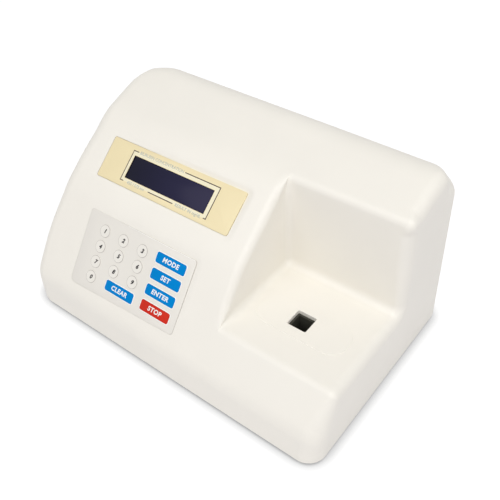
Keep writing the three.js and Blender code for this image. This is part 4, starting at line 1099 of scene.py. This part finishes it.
def make_screws():
    for corner in CORNERS:
        make_screw(f"base_screw_{corner}", Matrix.Identity(4))
    for corner in PANEL_CORNERS:
        make_screw(f"rear_panel_screw_{corner}", Matrix.Rotation(pi / 2, 4, "X"))


# The rear panel's pieces
PORT = (78, 47)
PORT_WORD_DROP = 12
PORT_PRINT = {"size": 4.2, "heavier": 0.05}
INLET = (148, 47)
SOCKET_DROP = 13
SOCKET_DEPTH = 16
INLET_PINS = ((-7, -1.5), (0, 3), (7, -1.5))
PIN_SIZE = (2, 4.5)
PIN_LENGTH = 8
PIN_MARGIN = 0.1
ROCKER_RISE = 17.5
ROCKER_RECESS = 1.6
ROCKER_HALF = 9.7
ROCKER_TILT = radians(8)
MARK_PRINT = {"size": 4.6, "heavier": 0.06}
MARK_SINK = 0.03
# Turns print to face the rear and read from there
FACING_REAR = Matrix(((-1, 0, 0, 0), (0, 0, 1, 0), (0, 1, 0, 0), (0, 0, 0, 1)))


def finish_rear():
    face_y = drawn_box("inlet_body")[1].y
    panel_y = drawn_box("rear_panel")[1].y
    words = moved(legend("RS-232", 1, **PORT_PRINT),
                  at(PORT[0], panel_y, PORT[1] - PORT_WORD_DROP) @ FACING_REAR)
    eased_node("rear_panel", PANEL_EASE, ["aluminium", "dark_ink"], extras=[words])
    root_y = face_y - SOCKET_DEPTH + PIN_MARGIN
    pins = [(about(INLET[0] + x, PIN_SIZE[0] + PIN_MARGIN), (root_y, root_y + PIN_LENGTH),
             about(INLET[1] - SOCKET_DROP + z, PIN_SIZE[1] + PIN_MARGIN)) for x, z in INLET_PINS]
    eased_node("inlet_body", INLET_EASE, ["black", "steel"], metal=pins)
    eased_node("fuse_drawer", DRAWER_EASE, ["black"], "fuse_drawer")
    rocker = (at(INLET[0], face_y - ROCKER_RECESS, INLET[1] + ROCKER_RISE)
              @ Matrix.Rotation(-ROCKER_TILT, 4, "Z"))
    sunk = ROCKER_HALF * tan(ROCKER_TILT) / 2 + MARK_SINK
    marks = [moved(legend(mark, 1, **MARK_PRINT),
                   rocker @ at(side * ROCKER_HALF / 2, -sunk)
                   @ Matrix.Rotation(side * ROCKER_TILT, 4, "Z") @ FACING_REAR)
             for mark, side in (("I", -1), ("O", 1))]
    eased_node("power_rocker", ROCKER_EASE, ["black", "white_ink"], "power_rocker", marks)
    eased_node("serial_port", PORT_EASE, ["steel"])


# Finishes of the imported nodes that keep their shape
NODE_FINISHES = {
    "board": ("keypad_board", "lcd_board", "main_board", "blue_detector_board",
              "green_detector_board"),
    "steel": ("base_plate", "lcd_module", "mains_transformer"),
    "aluminium": ("optics_plate", "lamp_holder", "splitter_block"),
    "black": ("mains_lead", "lamp_lead"),
    "well": ("cuvette_well",),
    "glass": ("mains_fuse", "lamp", "collimating_lens", "beam_splitter"),
    "blue_glass": ("blue_filter",),
    "green_glass": ("green_filter",),
    "ribbon": ("display_ribbon", "keypad_ribbon"),
}


def finish_nodes():
    for finish_name, nodes in NODE_FINISHES.items():
        for node in nodes:
            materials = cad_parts[node].data.materials
            if not materials:
                materials.append(None)
            for index in range(len(materials)):
                materials[index] = FINISHES[finish_name]


# The photograph's camera, in metres, with its axes as columns: to the right, up, and back
FRAME_SIDE = 500
FOCAL = 657.8
PRINCIPAL = (222.6, 270.7)
CAMERA_PLACE = (0.26465, -0.29880, 0.41635)
CAMERA_AXES = (
    (0.77781, -0.4005, 0.48437),
    (0.62594, 0.56309, -0.53956),
    (-0.05665, 0.72286, 0.68867),
)

CLIP_START = 0.01


def place_camera():
    camera = bpy.data.cameras.new("camera")
    camera.lens = FOCAL / FRAME_SIDE * camera.sensor_width
    camera.shift_x = (FRAME_SIDE / 2 - PRINCIPAL[0]) / FRAME_SIDE
    camera.shift_y = (PRINCIPAL[1] - FRAME_SIDE / 2) / FRAME_SIDE
    camera.clip_start = CLIP_START
    holder = linked("camera", camera)
    holder.matrix_world = Matrix.Translation(CAMERA_PLACE) @ Matrix(CAMERA_AXES).to_4x4()
    bpy.context.scene.camera = holder


# The world's light on the object; rays that show the background see it at full strength
SKY_STRENGTH = 0.44
# Soft lamps: place in metres and power in watts
LAMPS = {"front_lamp": ((0.0, -0.9, 1.3), 9.4), "right_lamp": ((0.9, -0.3, 1.3), 9.2)}
LAMP_SIZE = 1.6
# The floor: half its side in metres, its colour for the light that it throws back, and for the
# shade that is seen on it
FLOOR_SIZE = 4
FLOOR_COLOUR = (0.81, 0.8, 0.84, 1)
FLOOR_ROUGHNESS = 0.9
FLOOR_SHADED = (0.25, 0.25, 0.25, 1)
# The floor's glow where it is closed in and where it is open, and what counts as either
FLOOR_GLOW = (0.1, 0.86)
CONTACT_OPENNESS = (0.2, 0.95)
CONTACT_REACH = 12
CONTACT_SAMPLES = 16


def light_world():
    world = bpy.data.worlds.new("studio")
    bpy.context.scene.world = world
    nodes = Nodes(world)
    strength = nodes.mapped(nodes.seen(), (0, 1), SKY_STRENGTH, 1)
    nodes.set(nodes.tree.nodes["Background"], (1, 1, 1, 1), strength)


def lay_floor():
    """A pale floor that shows as white by its own glow, which fades where it is closed in"""
    bm = bmesh.new()
    bmesh.ops.create_grid(bm, x_segments=1, y_segments=1, size=FLOOR_SIZE)
    floor = object_of(bm, "floor")
    nodes = Nodes(bpy.data.materials.new("studio_floor"))
    nodes.set(nodes.shader, Base_Color=FLOOR_COLOUR, Roughness=FLOOR_ROUGHNESS,
              Specular_IOR_Level=0)
    openness = nodes.add("ShaderNodeAmbientOcclusion", Distance=CONTACT_REACH * MM)
    openness.samples = CONTACT_SAMPLES
    strength = nodes.mapped(openness.outputs["AO"], CONTACT_OPENNESS, *FLOOR_GLOW)
    glow = nodes.add("ShaderNodeEmission", Strength=strength)
    shade = nodes.add("ShaderNodeBsdfDiffuse", Color=FLOOR_SHADED)
    seen = nodes.add("ShaderNodeAddShader", shade.outputs[0], glow.outputs[0])
    choice = nodes.add("ShaderNodeMixShader", nodes.seen(), nodes.shader.outputs[0],
                       seen.outputs[0])
    nodes.set(nodes.tree.nodes["Material Output"], choice.outputs[0])
    floor.data.materials.append(nodes.owner)


def hang_lamps():
    for name, (place, power) in LAMPS.items():
        lamp = bpy.data.lights.new(name, "AREA")
        lamp.shape = "DISK"
        lamp.size = LAMP_SIZE
        lamp.energy = power
        aim = Vector(place).to_track_quat("Z", "Y").to_matrix().to_4x4()
        linked(name, lamp).matrix_world = Matrix.Translation(place) @ aim


place_camera()
make_cover()
make_bezel()
make_window()
make_film()
make_keys()
make_feet()
make_screws()
finish_rear()
finish_nodes()
light_world()
lay_floor()
hang_lamps()
bpy.context.scene.view_settings.view_transform = "Standard"
